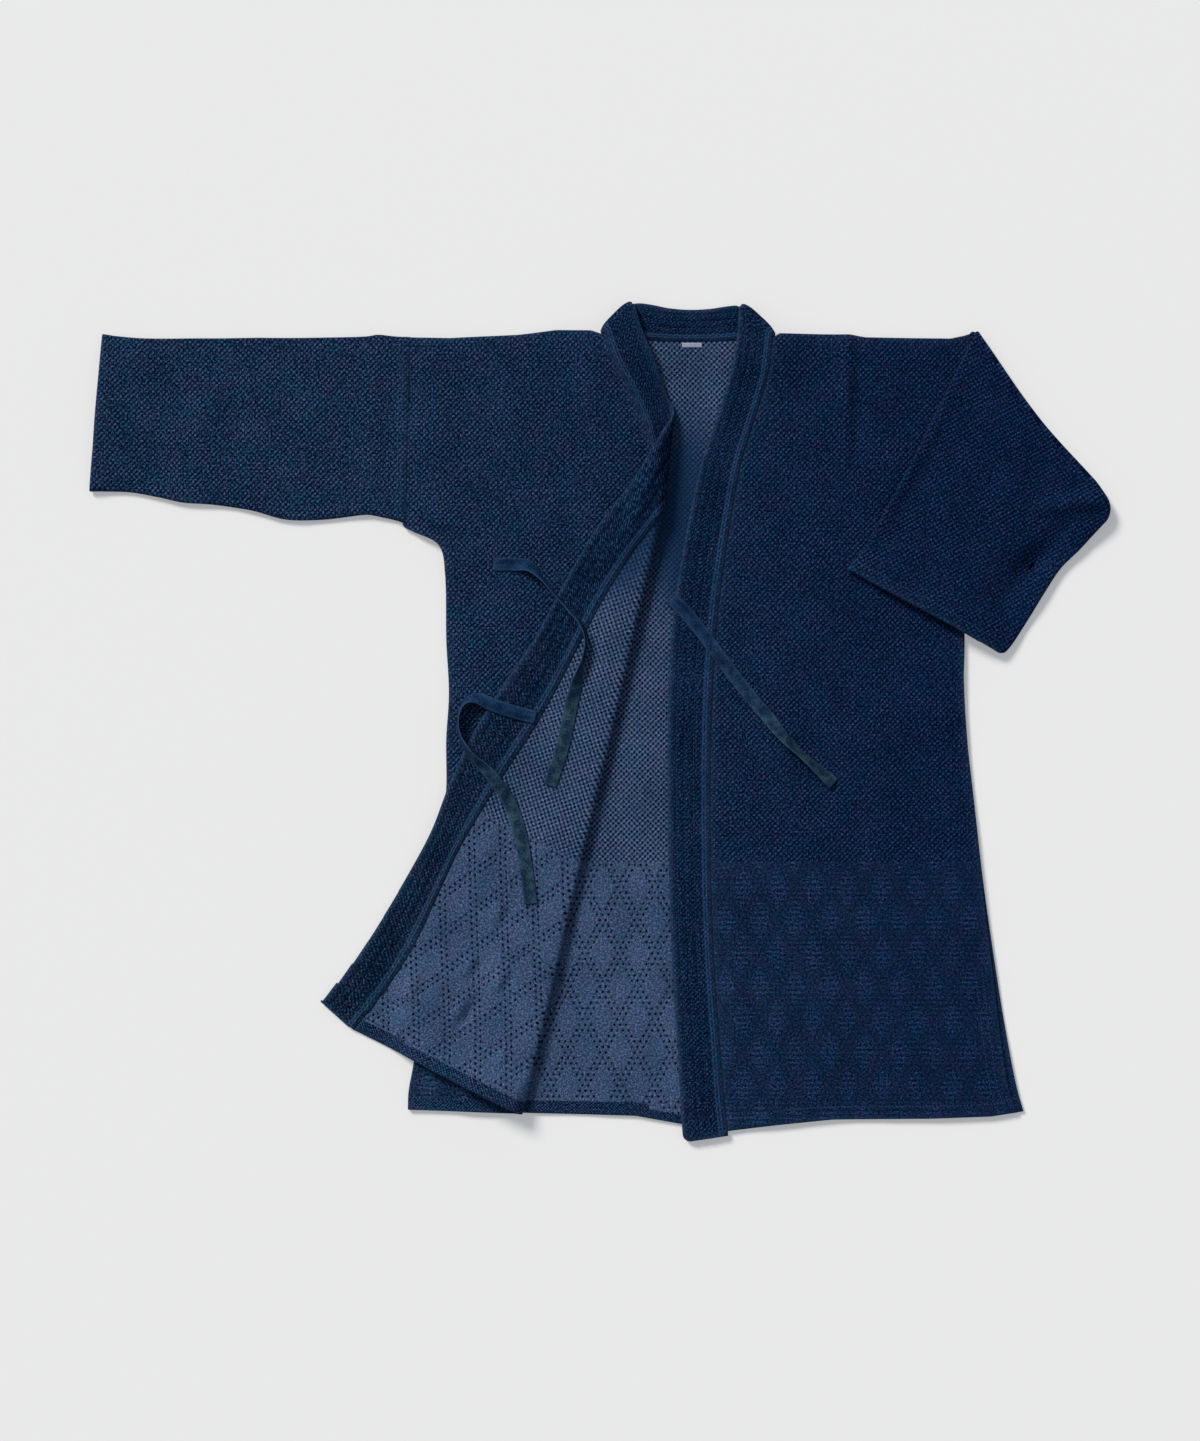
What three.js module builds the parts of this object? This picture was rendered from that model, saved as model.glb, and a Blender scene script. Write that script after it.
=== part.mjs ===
// Kendo jacket laid flat, its right front turned back and its left sleeve folded in.
// Millimetres: x across the jacket, y from hem to collar, z up from the surface it lies on.
// Left and right in the names are the wearer's, so the right front is the one at low x.
import * as THREE from 'three';

// Walls and gaps
const CLOTH = 2.4;
const BAND = 4.5;
const STRAP = 1.5;
const STRAP_WIDTH = 14.6;
const SEAM_GAP = 0.3;
const EDGE_GAP = 0.4;

// Layers over the surface: the back lies on it and each next layer clears the one below
const FRONT_LEVEL = CLOTH + SEAM_GAP;
const FLIPPED_LEVEL = FRONT_LEVEL + CLOTH + SEAM_GAP;

// The fold of the turned-back front: a puffed roll, settling over a wide slope
const ROLL = { reach: 6, lift: 5.5, settle: 72 };
// Cloth that hangs past the body's side comes down to the surface: where it starts, and how far
const SIDE_FALL = { clear: 7, width: 30 };
const NECK_LIFT = { from: 356, to: 412, rise: 2.7 };
const TURNED_HEM = { width: 16, rise: 1.1 };
const SEAM_STRIP = { rows: 2, rise: 0.9 };
const QUILT = { channels: 5, rise: 0.6 };
const SLEEVE_GAP = 0.3;
const NECK_FOLD_RADIUS = 2.7;
const SLEEVE_FOLD_RADIUS = 3.2;

// Crease of the turned-back front, from the collar's free edge to the hem
const FOLD_LINE = [
  { x: 82, y: 347 }, { x: 75, y: 284 }, { x: 67, y: 224 }, { x: 41, y: 112 }, { x: 15, y: -3 },
  { x: -12, y: -117 }, { x: -39, y: -233 }, { x: -65, y: -347 }, { x: -87, y: -435 },
];

// Armholes and sides of the body, a row for each station from shoulder to hem
const SIDES = [
  { leftX: -217, leftY: 430, rightX: 413, rightY: 433 },
  { leftX: -217.7, leftY: 395, rightX: 411.8, rightY: 395 },
  { leftX: -218.4, leftY: 360, rightX: 410.6, rightY: 360 },
  { leftX: -219.1, leftY: 325, rightX: 409.5, rightY: 325 },
  { leftX: -219.8, leftY: 290, rightX: 408.3, rightY: 290 },
  { leftX: -220.4, leftY: 255, rightX: 407.2, rightY: 255 },
  { leftX: -221, leftY: 222, rightX: 406.2, rightY: 225 },
  { leftX: -210, leftY: 213, rightX: 405.5, rightY: 205 },
  { leftX: -180, leftY: 197, rightX: 405.5, rightY: 188 },
  { leftX: -173, leftY: 160, rightX: 406, rightY: 158 },
  { leftX: -172, leftY: 92, rightX: 408, rightY: 92 },
  { leftX: -169, leftY: 33, rightX: 407, rightY: 33 },
  { leftX: -172, leftY: -20, rightX: 411, rightY: -20 },
  { leftX: -172.5, leftY: -82, rightX: 418, rightY: -82 },
  { leftX: -184, leftY: -144, rightX: 425, rightY: -146 },
  { leftX: -190, leftY: -200, rightX: 432, rightY: -203 },
  { leftX: -195, leftY: -256, rightX: 440, rightY: -258 },
  { leftX: -202, leftY: -316, rightX: 449, rightY: -316 },
  { leftX: -208, leftY: -377, rightX: 459.5, rightY: -376 },
  { leftX: -214, leftY: -412, rightX: 467, rightY: -411 },
  { leftX: -215, leftY: -434, rightX: 474, rightY: -431 },
];
// Row of SIDES at the armpit, where the body's own side begins
const ARMPIT_ROW = 8;

// Band seam of the right front as cut, before the front is turned back, at the rows of SIDES
const RIGHT_SEAM = [
  { x: 4, y: 433.6 }, { x: 16, y: 402 }, { x: 35, y: 367 }, { x: 52, y: 328 }, { x: 61, y: 290 },
  { x: 66, y: 255 }, { x: 70, y: 228 }, { x: 75, y: 203 }, { x: 80, y: 178 }, { x: 83, y: 145 },
  { x: 87, y: 85 }, { x: 89, y: 15 }, { x: 92, y: -45 }, { x: 98, y: -99 }, { x: 103, y: -149 },
  { x: 107, y: -205 }, { x: 106, y: -265 }, { x: 106, y: -325 }, { x: 113, y: -388 },
  { x: 118, y: -425 }, { x: 122, y: -446 },
];

// Right band as cut, from neck to hem: the seam row that each line across it starts at, and its
// free edge. The lines lean to the crease where the band turns over.
const RIGHT_BAND = [
  { row: 0, x: 39, y: 465.6 }, { row: 0.7, x: 47, y: 440 }, { row: 1.4, x: 57, y: 415 },
  { row: 2.3, x: 66, y: 391 }, { row: 3.3, x: 74, y: 369 }, { row: 4.3, x: 78, y: 358 },
  { row: 5, x: 80.5, y: 351 }, { row: 5.6, x: 82, y: 346 }, { row: 6.1, x: 85, y: 336 },
  { row: 6.6, x: 89, y: 322 }, { row: 7.1, x: 95, y: 303 }, { row: 7.6, x: 104, y: 276 },
  { row: 8.2, x: 114, y: 250 }, { row: 8.8, x: 122, y: 222 }, { row: 9.4, x: 128, y: 188 },
  { row: 10.2, x: 132, y: 130 }, { row: 11, x: 136, y: 50 }, { row: 12, x: 144, y: -22 },
  { row: 13, x: 148, y: -85 }, { row: 14, x: 147, y: -145 }, { row: 15, x: 144, y: -202 },
  { row: 16, x: 147, y: -266 }, { row: 17, x: 153, y: -326 }, { row: 18, x: 161, y: -382 },
  { row: 19, x: 166, y: -412 }, { row: 20, x: 170, y: -434 },
];

// Left band and left front, from neck to hem: band seam, band free edge and front side
const LEFT_FRONT = [
  { seamX: 192.5, seamY: 430, freeX: 155, freeY: 463.3, sideX: 413, sideY: 433 },
  { seamX: 191, seamY: 414, freeX: 153, freeY: 430, sideX: 412.2, sideY: 407 },
  { seamX: 187, seamY: 385, freeX: 147, freeY: 395, sideX: 411, sideY: 372 },
  { seamX: 175, seamY: 345, freeX: 134, freeY: 352, sideX: 409.6, sideY: 330 },
  { seamX: 158, seamY: 290, freeX: 114, freeY: 292, sideX: 408, sideY: 280 },
  { seamX: 147, seamY: 230, freeX: 100, freeY: 230, sideX: 406.2, sideY: 226 },
  { seamX: 138, seamY: 170, freeX: 89, freeY: 170, sideX: 405.6, sideY: 170 },
  { seamX: 131, seamY: 110, freeX: 81, freeY: 110, sideX: 407, sideY: 110 },
  { seamX: 126.5, seamY: 45, freeX: 77, freeY: 45, sideX: 407, sideY: 45 },
  { seamX: 124, seamY: -25, freeX: 75.5, freeY: -25, sideX: 411, sideY: -22 },
  { seamX: 123.5, seamY: -95, freeX: 76, freeY: -95, sideX: 418, sideY: -90 },
  { seamX: 124, seamY: -165, freeX: 77, freeY: -165, sideX: 426, sideY: -160 },
  { seamX: 126, seamY: -235, freeX: 79, freeY: -235, sideX: 433, sideY: -230 },
  { seamX: 130, seamY: -305, freeX: 83, freeY: -305, sideX: 442, sideY: -300 },
  { seamX: 135, seamY: -370, freeX: 87, freeY: -370, sideX: 450, sideY: -365 },
  { seamX: 139, seamY: -420, freeX: 90, freeY: -425, sideX: 457, sideY: -408 },
  { seamX: 143, seamY: -458, freeX: 93.5, freeY: -465, sideX: 467, sideY: -436 },
];

// Collar behind the neck, from its left fold to its right one
const BACK_BAND = [
  { seamX: 192.5, seamY: 430, freeX: 155, freeY: 463.3 },
  { seamX: 175, seamY: 428.5, freeX: 149, freeY: 464 },
  { seamX: 154, seamY: 427, freeX: 139, freeY: 463.5 },
  { seamX: 130, seamY: 425.6, freeX: 122, freeY: 461.5 },
  { seamX: 101, seamY: 425.3, freeX: 100, freeY: 460.5 },
  { seamX: 72, seamY: 425.6, freeX: 78, freeY: 461.5 },
  { seamX: 46, seamY: 427, freeX: 60, freeY: 464 },
  { seamX: 24, seamY: 430, freeX: 47, freeY: 465.5 },
  { seamX: 4, seamY: 433.6, freeX: 39, freeY: 465.6 },
];

// Upper edge of the back, with its neck between the two band folds
const BACK_TOP = [
  { x: -217, y: 430 }, { x: -168, y: 429 }, { x: -128, y: 431 }, { x: -90, y: 433 },
  { x: -49, y: 438 }, { x: -10, y: 437.5 }, { x: 3, y: 432.6 }, { x: 24, y: 429.3 },
  { x: 46, y: 426.3 }, { x: 72, y: 424.9 }, { x: 101, y: 424.6 }, { x: 130, y: 424.9 },
  { x: 154, y: 426.3 }, { x: 175, y: 427.8 }, { x: 193.4, y: 429.3 }, { x: 200, y: 433.5 },
  { x: 240, y: 433.5 }, { x: 280, y: 433 }, { x: 297, y: 430 }, { x: 345, y: 428.5 },
  { x: 392, y: 428.5 }, { x: 413, y: 433 },
];
const RIGHT_TOP = [
  { x: -217, y: 430 }, { x: -168, y: 429 }, { x: -90, y: 433 }, { x: -49, y: 438 },
  { x: -10, y: 437 }, { x: 3, y: 432.4 },
];
const LEFT_TOP = [
  { x: 193, y: 428.6 }, { x: 200, y: 433.5 }, { x: 280, y: 433 }, { x: 297, y: 430 },
  { x: 392, y: 428.5 }, { x: 413, y: 433 },
];
// Lower edge of the back and the left front
const HEM = [
  { x: -215, y: -434 }, { x: -72, y: -438 }, { x: 40, y: -441 }, { x: 90, y: -450 },
  { x: 143, y: -458 }, { x: 200, y: -451 }, { x: 260, y: -445 }, { x: 370, y: -444 },
  { x: 437, y: -440 }, { x: 474, y: -431 },
];
const EDGE_FADE = 70;

// Right sleeve, from armhole to cuff: its upper and lower edges
const RIGHT_SLEEVE = [
  { topX: -217.5, topY: 430.5, lowX: -222.3, lowY: 221 },
  { topX: -231, topY: 431, lowX: -235, lowY: 226 },
  { topX: -248, topY: 433, lowX: -253, lowY: 230.5 },
  { topX: -263, topY: 431, lowX: -267, lowY: 231 },
  { topX: -302, topY: 430, lowX: -309, lowY: 226 },
  { topX: -343, topY: 429.5, lowX: -351, lowY: 226 },
  { topX: -381, topY: 429.5, lowX: -389, lowY: 236 },
  { topX: -421, topY: 429, lowX: -431, lowY: 242.5 },
  { topX: -455, topY: 429, lowX: -466, lowY: 245 },
  { topX: -482, topY: 428.7, lowX: -494, lowY: 251 },
  { topX: -513, topY: 429, lowX: -525, lowY: 256.5 },
  { topX: -541, topY: 431.5, lowX: -554, lowY: 257.5 },
  { topX: -557, topY: 434, lowX: -571, lowY: 257.3 },
];

// Left sleeve, from armhole to its fold, then back to the cuff
const LEFT_SLEEVE_UNDER = [
  { topX: 414.2, topY: 430, lowX: 406.8, lowY: 203 },
  { topX: 417, topY: 430, lowX: 460, lowY: 213 },
  { topX: 420, topY: 430, lowX: 513, lowY: 223 },
  { topX: 422, topY: 430, lowX: 576, lowY: 235 },
];
const LEFT_SLEEVE_OVER = [
  { topX: 422, topY: 430, lowX: 576, lowY: 235 },
  { topX: 402, topY: 395, lowX: 559, lowY: 214 },
  { topX: 384, topY: 359, lowX: 536, lowY: 192 },
  { topX: 361, topY: 312, lowX: 515, lowY: 171 },
  { topX: 338.5, topY: 268, lowX: 497, lowY: 144 },
  { topX: 316, topY: 227, lowX: 480, lowY: 116 },
  { topX: 297, topY: 193, lowX: 462, lowY: 90 },
  { topX: 279, topY: 172.5, lowX: 450, lowY: 79.5 },
];
// Past the body's side and the sleeve's own underarm edge it comes down to the surface
const LEFT_SLEEVE_FALL = { sideX: 422, cornerX: 406.8, cornerY: 190, slope: 0.195, width: 34 };

// Ties: the middle line of each strap, what it lies over, and its turn about that line in degrees
const CHEST_TIE = [
  { x: -119, y: 176, over: 5.1, turn: 0 }, { x: -98, y: 176, over: 5.1, turn: 0 },
  { x: -80, y: 174, over: 5.2, turn: -20 }, { x: -66, y: 161, over: 6.5, turn: -60 },
  { x: -50, y: 142, over: 10.2, turn: -66 }, { x: -34, y: 124, over: 10.8, turn: -60 },
  { x: -21, y: 108, over: 12.4, turn: -64 }, { x: -16, y: 90, over: 12.6, turn: -74 },
  { x: -21, y: 66, over: 11.7, turn: -58 }, { x: -28, y: 36, over: 11.6, turn: -20 },
  { x: -35, y: 4, over: 11.7, turn: 0 }, { x: -43, y: -32, over: 11.7, turn: 0 },
  { x: -56, y: -71, over: 11.2, turn: 0 },
];
const HIP_TIE = [
  { x: -72, y: 5, over: 10.1, turn: 0 }, { x: -96, y: 11, over: 9.9, turn: 0 },
  { x: -120, y: 19, over: 9.9, turn: 0 }, { x: -137, y: 26, over: 8, turn: 35 },
  { x: -151, y: 22, over: 5.4, turn: 70 }, { x: -158, y: 6, over: 5.2, turn: 84 },
  { x: -156, y: -16, over: 7.6, turn: 80 }, { x: -143, y: -38, over: 11, turn: 60 },
  { x: -124, y: -57, over: 10, turn: 30 }, { x: -106, y: -82, over: 10, turn: 6 },
  { x: -94, y: -108, over: 9.2, turn: 0 }, { x: -85, y: -146, over: 10, turn: 0 },
  { x: -77, y: -203, over: 13.1, turn: 0 },
];
const LEFT_TIE = [
  { x: 80, y: 138, over: 7.2, turn: 0 }, { x: 101, y: 116, over: 7.2, turn: 0 },
  { x: 127, y: 82, over: 7.3, turn: 0 }, { x: 157, y: 42, over: 6, turn: 0 },
  { x: 185, y: 8, over: 5.2, turn: -4 }, { x: 206, y: -18, over: 5.2, turn: -38 },
  { x: 224, y: -36, over: 5.2, turn: -58 }, { x: 242, y: -52, over: 5.2, turn: -44 },
  { x: 261, y: -69, over: 5.2, turn: -14 },
];

const NECK_LABEL = { x: 103, y: 421.4, width: 22.4, height: 5.4, thickness: 0.8 };

// Mesh fineness
const BAND_COLUMNS = 11;
const FRONT_COLUMNS = { right: 17, left: 8 };
const SLEEVE_COLUMNS = 9;
const ARC_STEPS = 6;
const ROUND_STEPS = 3;
const TIE_STEPS = 2;

const clamp = (v, low, high) => Math.min(high, Math.max(low, v));
const mix = (a, b, t) => a + (b - a) * t;
const smooth = (t) => {
  const c = clamp(t, 0, 1);
  return c * c * (3 - 2 * c);
};

// Smooth curve through a table's rows, at a row number that may have a fraction
function alongTable(table, position) {
  const last = table.length - 1;
  const index = clamp(Math.floor(position), 0, last - 1);
  const t = position - index;
  const row = (i, key) => {
    if (i < 0) return 2 * table[0][key] - table[1][key];
    if (i > last) return 2 * table[last][key] - table[last - 1][key];
    return table[i][key];
  };
  const result = {};
  for (const key of Object.keys(table[0])) {
    const [a, b, c, d] = [-1, 0, 1, 2].map((step) => row(index + step, key));
    const curve = 2 * b + (c - a) * t + (2 * a - 5 * b + 4 * c - d) * t ** 2;
    result[key] = 0.5 * (curve + (3 * b - a - 3 * c + d) * t ** 3);
  }
  return result;
}

// Straight lines through a table of x and y
function heightAt(table, x) {
  if (x <= table[0].x) return table[0].y;
  for (let i = 1; i < table.length; i += 1) {
    const [a, b] = [table[i - 1], table[i]];
    if (x <= b.x) return mix(a.y, b.y, (x - a.x) / (b.x - a.x));
  }
  return table[table.length - 1].y;
}

// Row numbers from a table's start to its end, with a set number of steps in each row
function rowNumbers(table, stepsFor) {
  const numbers = [];
  for (let i = 0; i < table.length - 1; i += 1) {
    const steps = stepsFor(i);
    for (let k = 0; k < steps; k += 1) numbers.push(i + k / steps);
  }
  numbers.push(table.length - 1);
  return numbers;
}

// Crease as short straight pieces, for finding the nearest one
const CREASE_STEPS = 12;
const crease = rowNumbers(FOLD_LINE, () => CREASE_STEPS).map((n) => alongTable(FOLD_LINE, n));

// Nearest point of the crease, the direction out of the body there, and the distance to it
function fromCrease(x, y) {
  let best = null;
  for (let i = 0; i < crease.length - 1; i += 1) {
    const [a, b] = [crease[i], crease[i + 1]];
    const [dx, dy] = [b.x - a.x, b.y - a.y];
    const length = Math.hypot(dx, dy);
    const low = i === 0 ? -Infinity : 0;
    const high = i === crease.length - 2 ? Infinity : 1;
    const t = clamp(((x - a.x) * dx + (y - a.y) * dy) / length ** 2, low, high);
    const foot = { x: a.x + dx * t, y: a.y + dy * t };
    const apart = Math.hypot(x - foot.x, y - foot.y);
    if (best === null || apart < best.apart) {
      best = { apart, foot, out: { x: -dy / length, y: dx / length } };
    }
  }
  const distance = (x - best.foot.x) * best.out.x + (y - best.foot.y) * best.out.y;
  return { foot: best.foot, out: best.out, distance };
}

// Side of the body at a height, for the layers that lie over it
function leftSideAt(y) {
  const rows = SIDES.slice(ARMPIT_ROW);
  for (let i = 1; i < rows.length; i += 1) {
    const [a, b] = [rows[i - 1], rows[i]];
    if (y >= b.leftY) return mix(a.leftX, b.leftX, clamp((y - a.leftY) / (b.leftY - a.leftY), 0, 1));
  }
  return rows[rows.length - 1].leftX;
}

// What the turned-back front rests on: the front below it, then down to the surface
function flippedRest(x, y) {
  return FLIPPED_LEVEL * (1 - smooth((leftSideAt(y) - SIDE_FALL.clear - x) / SIDE_FALL.width));
}

// Place of a point of the right front's middle layer, from where it lies before turning back
function turnBack(x, y, thickness, extraLift = 0) {
  const { foot, out, distance } = fromCrease(x, y);
  const low = FRONT_LEVEL + thickness / 2;
  if (distance <= -ROLL.reach) return new THREE.Vector3(x, y, low + extraLift);
  if (distance < ROLL.reach) {
    const angle = ((distance + ROLL.reach) / (2 * ROLL.reach)) * Math.PI;
    const across = -ROLL.reach + ROLL.reach * Math.sin(angle);
    const z = low + ROLL.lift * (1 - Math.cos(angle));
    return new THREE.Vector3(foot.x + out.x * across, foot.y + out.y * across, z + extraLift);
  }
  const place = { x: foot.x - out.x * distance, y: foot.y - out.y * distance };
  const rest = flippedRest(place.x, place.y) + thickness / 2;
  const high = low + 2 * ROLL.lift;
  const settled = smooth((distance - ROLL.reach) / ROLL.settle);
  return new THREE.Vector3(place.x, place.y, mix(high, rest, settled));
}

// Closed body from triangles, its faces turned outward
function closedBody(vertices, triangles) {
  let volume = 0;
  for (const [a, b, c] of triangles) {
    volume += vertices[a].dot(vertices[b].clone().cross(vertices[c]));
  }
  const geometry = new THREE.BufferGeometry();
  const positions = vertices.flatMap((v) => [v.x, v.y, v.z]);
  geometry.setAttribute('position', new THREE.Float32BufferAttribute(positions, 3));
  geometry.setIndex(triangles.flatMap(([a, b, c]) => (volume < 0 ? [a, c, b] : [a, b, c])));
  return geometry;
}

// Unit directions out of a grid of points, the mean of the faces around each
function gridNormals(grid) {
  const rows = grid.length;
  const columns = grid[0].length;
  const normals = grid.map((row) => row.map(() => new THREE.Vector3()));
  for (let i = 0; i < rows - 1; i += 1) {
    for (let j = 0; j < columns - 1; j += 1) {
      const down = grid[i + 1][j].clone().add(grid[i + 1][j + 1]).sub(grid[i][j]).sub(grid[i][j + 1]);
      const across = grid[i][j + 1].clone().add(grid[i + 1][j + 1]).sub(grid[i][j]).sub(grid[i + 1][j]);
      const normal = across.cross(down).normalize();
      for (const [di, dj] of [[0, 0], [0, 1], [1, 0], [1, 1]]) normals[i + di][j + dj].add(normal);
    }
  }
  return normals.map((row) => row.map((n) => n.normalize()));
}

// Skin of quads between successive closed loops of points
function loopSkin(start, loops, size) {
  const triangles = [];
  for (let i = 0; i < loops - 1; i += 1) {
    for (let k = 0; k < size; k += 1) {
      const a = start + i * size + k;
      const b = start + i * size + ((k + 1) % size);
      triangles.push([a, b, b + size], [a, b + size, a + size]);
    }
  }
  return triangles;
}

// Points never go under the surface that the jacket lies on
function onSurface(point) {
  point.z = Math.max(0, point.z);
  return point;
}

// Sheet of cloth from its middle layer: face and back give each point's offsets from it
function sheet(grid, face, back) {
  const normals = gridNormals(grid);
  const columns = grid[0].length;
  const size = columns * 2;
  const vertices = [];
  grid.forEach((row, i) => {
    row.forEach((p, j) => vertices.push(onSurface(p.clone().addScaledVector(normals[i][j], face(i, j)))));
    for (let j = columns - 1; j >= 0; j -= 1) {
      vertices.push(onSurface(row[j].clone().addScaledVector(normals[i][j], -back(i, j))));
    }
  });
  const triangles = loopSkin(0, grid.length, size);
  const last = (grid.length - 1) * size;
  for (let j = 0; j < columns - 1; j += 1) {
    const opposite = size - 1 - j;
    triangles.push([j, opposite, opposite - 1], [j, opposite - 1, j + 1]);
    triangles.push([last + j, last + opposite - 1, last + opposite], [last + j, last + j + 1, last + opposite - 1]);
  }
  return closedBody(vertices, triangles);
}

// Flattened tube of cloth from its middle layer, open at both ends
function flatTube(grid, outerRise) {
  const normals = gridNormals(grid);
  const columns = grid[0].length;
  const inner = SLEEVE_GAP / 2;
  const outer = inner + CLOTH;
  const ring = (i, half, rise) => {
    const row = grid[i];
    const loop = [];
    const edge = (j, neighbour, from) => {
      const away = row[j].clone().sub(row[neighbour]).normalize();
      for (let k = 1; k < ROUND_STEPS; k += 1) {
        const angle = (Math.PI * k) / ROUND_STEPS;
        const offset = normals[i][j].clone().multiplyScalar(from * Math.cos(angle) * half);
        loop.push(row[j].clone().add(offset).addScaledVector(away, Math.sin(angle) * half));
      }
    };
    for (let j = 0; j < columns; j += 1) {
      loop.push(row[j].clone().addScaledVector(normals[i][j], half));
    }
    edge(columns - 1, columns - 2, 1);
    for (let j = columns - 1; j >= 0; j -= 1) {
      loop.push(row[j].clone().addScaledVector(normals[i][j], -half - rise(i)));
    }
    edge(0, 1, -1);
    return loop.map(onSurface);
  };
  const outerLoops = grid.map((_, i) => ring(i, outer, outerRise));
  const innerLoops = grid.map((_, i) => ring(i, inner, () => 0));
  const size = outerLoops[0].length;
  const vertices = [...outerLoops.flat(), ...innerLoops.flat()];
  const innerStart = grid.length * size;
  const triangles = loopSkin(0, grid.length, size);
  for (const [a, b, c] of loopSkin(innerStart, grid.length, size)) triangles.push([a, c, b]);
  const last = (grid.length - 1) * size;
  for (let k = 0; k < size; k += 1) {
    const next = (k + 1) % size;
    const [a, b] = [k, next];
    const [c, d] = [innerStart + next, innerStart + k];
    triangles.push([a, c, b], [a, d, c]);
    triangles.push([last + a, last + b, last + c], [last + a, last + c, last + d]);
  }
  return closedBody(vertices, triangles);
}

// Row of points between two edges, its height from a function of the place
function rowBetween(a, b, columns, heightOf) {
  return Array.from({ length: columns }, (_, j) => {
    const t = j / (columns - 1);
    const [x, y] = [mix(a.x, b.x, t), mix(a.y, b.y, t)];
    return new THREE.Vector3(x, y, heightOf(x, y));
  });
}

// Half turn about a fold: rows between two stacked layers, bulging outward
function foldRows(row, outward, radius, climb) {
  const rows = [];
  for (let k = 1; k < ARC_STEPS; k += 1) {
    const angle = (Math.PI * k) / ARC_STEPS;
    const out = radius * Math.sin(angle);
    const rise = climb * radius * (1 - Math.cos(angle));
    rows.push(row.map((p) => new THREE.Vector3(p.x + outward.x * out, p.y + outward.y * out, p.z + rise)));
  }
  return rows;
}

const evenly = (offset) => () => offset;

// Edge curves of the upper and lower ends, blended into the straight rows near them
function blendEnds(x, y, top, bottom, fromTop, fromBottom) {
  const upper = (heightAt(top, x) - top.line(x)) * (1 - smooth(fromTop / EDGE_FADE));
  const lower = (heightAt(bottom, x) - bottom.line(x)) * (1 - smooth(fromBottom / EDGE_FADE));
  return y + upper + lower;
}

// Straight line between the two ends of a row, kept with the edge table that bends it
function withLine(table, a, b) {
  const copy = [...table];
  copy.line = (x) => mix(a.y, b.y, (x - a.x) / (b.x - a.x));
  return copy;
}

function backPanel() {
  const first = SIDES[0];
  const final = SIDES[SIDES.length - 1];
  const top = withLine(BACK_TOP, { x: first.leftX, y: first.leftY }, { x: first.rightX, y: first.rightY });
  const hem = withLine(HEM, { x: final.leftX, y: final.leftY }, { x: final.rightX, y: final.rightY });
  const shares = BACK_TOP.map((p) => (p.x - first.leftX) / (first.rightX - first.leftX));
  const middle = CLOTH / 2;
  const grid = rowNumbers(SIDES, () => 1).map((n) => {
    const side = alongTable(SIDES, n);
    return shares.map((share) => {
      const x = mix(side.leftX, side.rightX, share);
      const y = mix(side.leftY, side.rightY, share);
      const fromTop = mix(first.leftY, first.rightY, share) - y;
      const fromHem = y - mix(final.leftY, final.rightY, share);
      return new THREE.Vector3(x, blendEnds(x, y, top, hem, fromTop, fromHem), middle);
    });
  });
  return sheet(grid, evenly(middle), evenly(middle));
}

// Rows across the right band, closest together where it turns over the crease and at the hem
const TURNING_ROWS = { from: 4, to: 10 };
const lastBandRow = RIGHT_BAND.length - 2;
const turnsOver = (i) => i >= TURNING_ROWS.from && i < TURNING_ROWS.to;
const bandNumbers = rowNumbers(RIGHT_BAND, (i) => (turnsOver(i) || i === lastBandRow ? 2 : 1));
const rightBandRows = bandNumbers.map((n) => {
  const free = alongTable(RIGHT_BAND, n);
  const seam = alongTable(RIGHT_SEAM, clamp(free.row, 0, RIGHT_SEAM.length - 1));
  return { number: clamp(free.row, 0, RIGHT_SEAM.length - 1), seam, free };
});

const neckLift = (y) => NECK_LIFT.rise * smooth((y - NECK_LIFT.from) / (NECK_LIFT.to - NECK_LIFT.from));

// Columns of the right front crowd where the cloth bends over the crease
const COLUMN_SAMPLES = 240;
const ROLL_CROWDING = { extra: 7, width: 1.3 };
function crowdedShares(start, end, columns) {
  const weights = [0];
  for (let k = 1; k <= COLUMN_SAMPLES; k += 1) {
    const t = (k - 0.5) / COLUMN_SAMPLES;
    const { distance } = fromCrease(mix(start.x, end.x, t), mix(start.y, end.y, t));
    const near = Math.exp(-((distance / (ROLL.reach * ROLL_CROWDING.width)) ** 2));
    weights.push(weights[k - 1] + 1 + ROLL_CROWDING.extra * near);
  }
  const shares = [];
  let k = 0;
  for (let j = 0; j < columns; j += 1) {
    const target = (weights[COLUMN_SAMPLES] * j) / (columns - 1);
    while (k < COLUMN_SAMPLES && weights[k + 1] < target) k += 1;
    shares.push(clamp((k + (target - weights[k]) / (weights[k + 1] - weights[k] || 1)) / COLUMN_SAMPLES, 0, 1));
  }
  shares[columns - 1] = 1;
  return shares;
}

function rightFront() {
  const first = { left: { x: SIDES[0].leftX, y: SIDES[0].leftY }, seam: RIGHT_SEAM[0] };
  const top = withLine(RIGHT_TOP, first.left, first.seam);
  const grid = rightBandRows.map(({ number, seam }) => {
    const side = alongTable(SIDES, number);
    const start = { x: side.leftX, y: side.leftY };
    const end = { x: seam.x - EDGE_GAP, y: seam.y };
    return crowdedShares(start, end, FRONT_COLUMNS.right).map((share) => {
      const [x, y] = [mix(start.x, end.x, share), mix(start.y, end.y, share)];
      const upper = (heightAt(top, x) - top.line(x)) * (1 - smooth((top.line(x) - y) / EDGE_FADE));
      return turnBack(x, y + upper, CLOTH);
    });
  });
  // The turned hem shows raised on the inner face where the front lies turned back
  const hemRow = grid[grid.length - 1];
  const raised = (i, j) => {
    const point = grid[i][j];
    const over = point.z > FRONT_LEVEL + CLOTH || point.x < SIDES[SIDES.length - 1].leftX;
    const inHem = over && point.distanceTo(hemRow[j]) < TURNED_HEM.width;
    return CLOTH / 2 + (inHem ? TURNED_HEM.rise : 0);
  };
  return sheet(grid, raised, evenly(CLOTH / 2));
}

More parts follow.
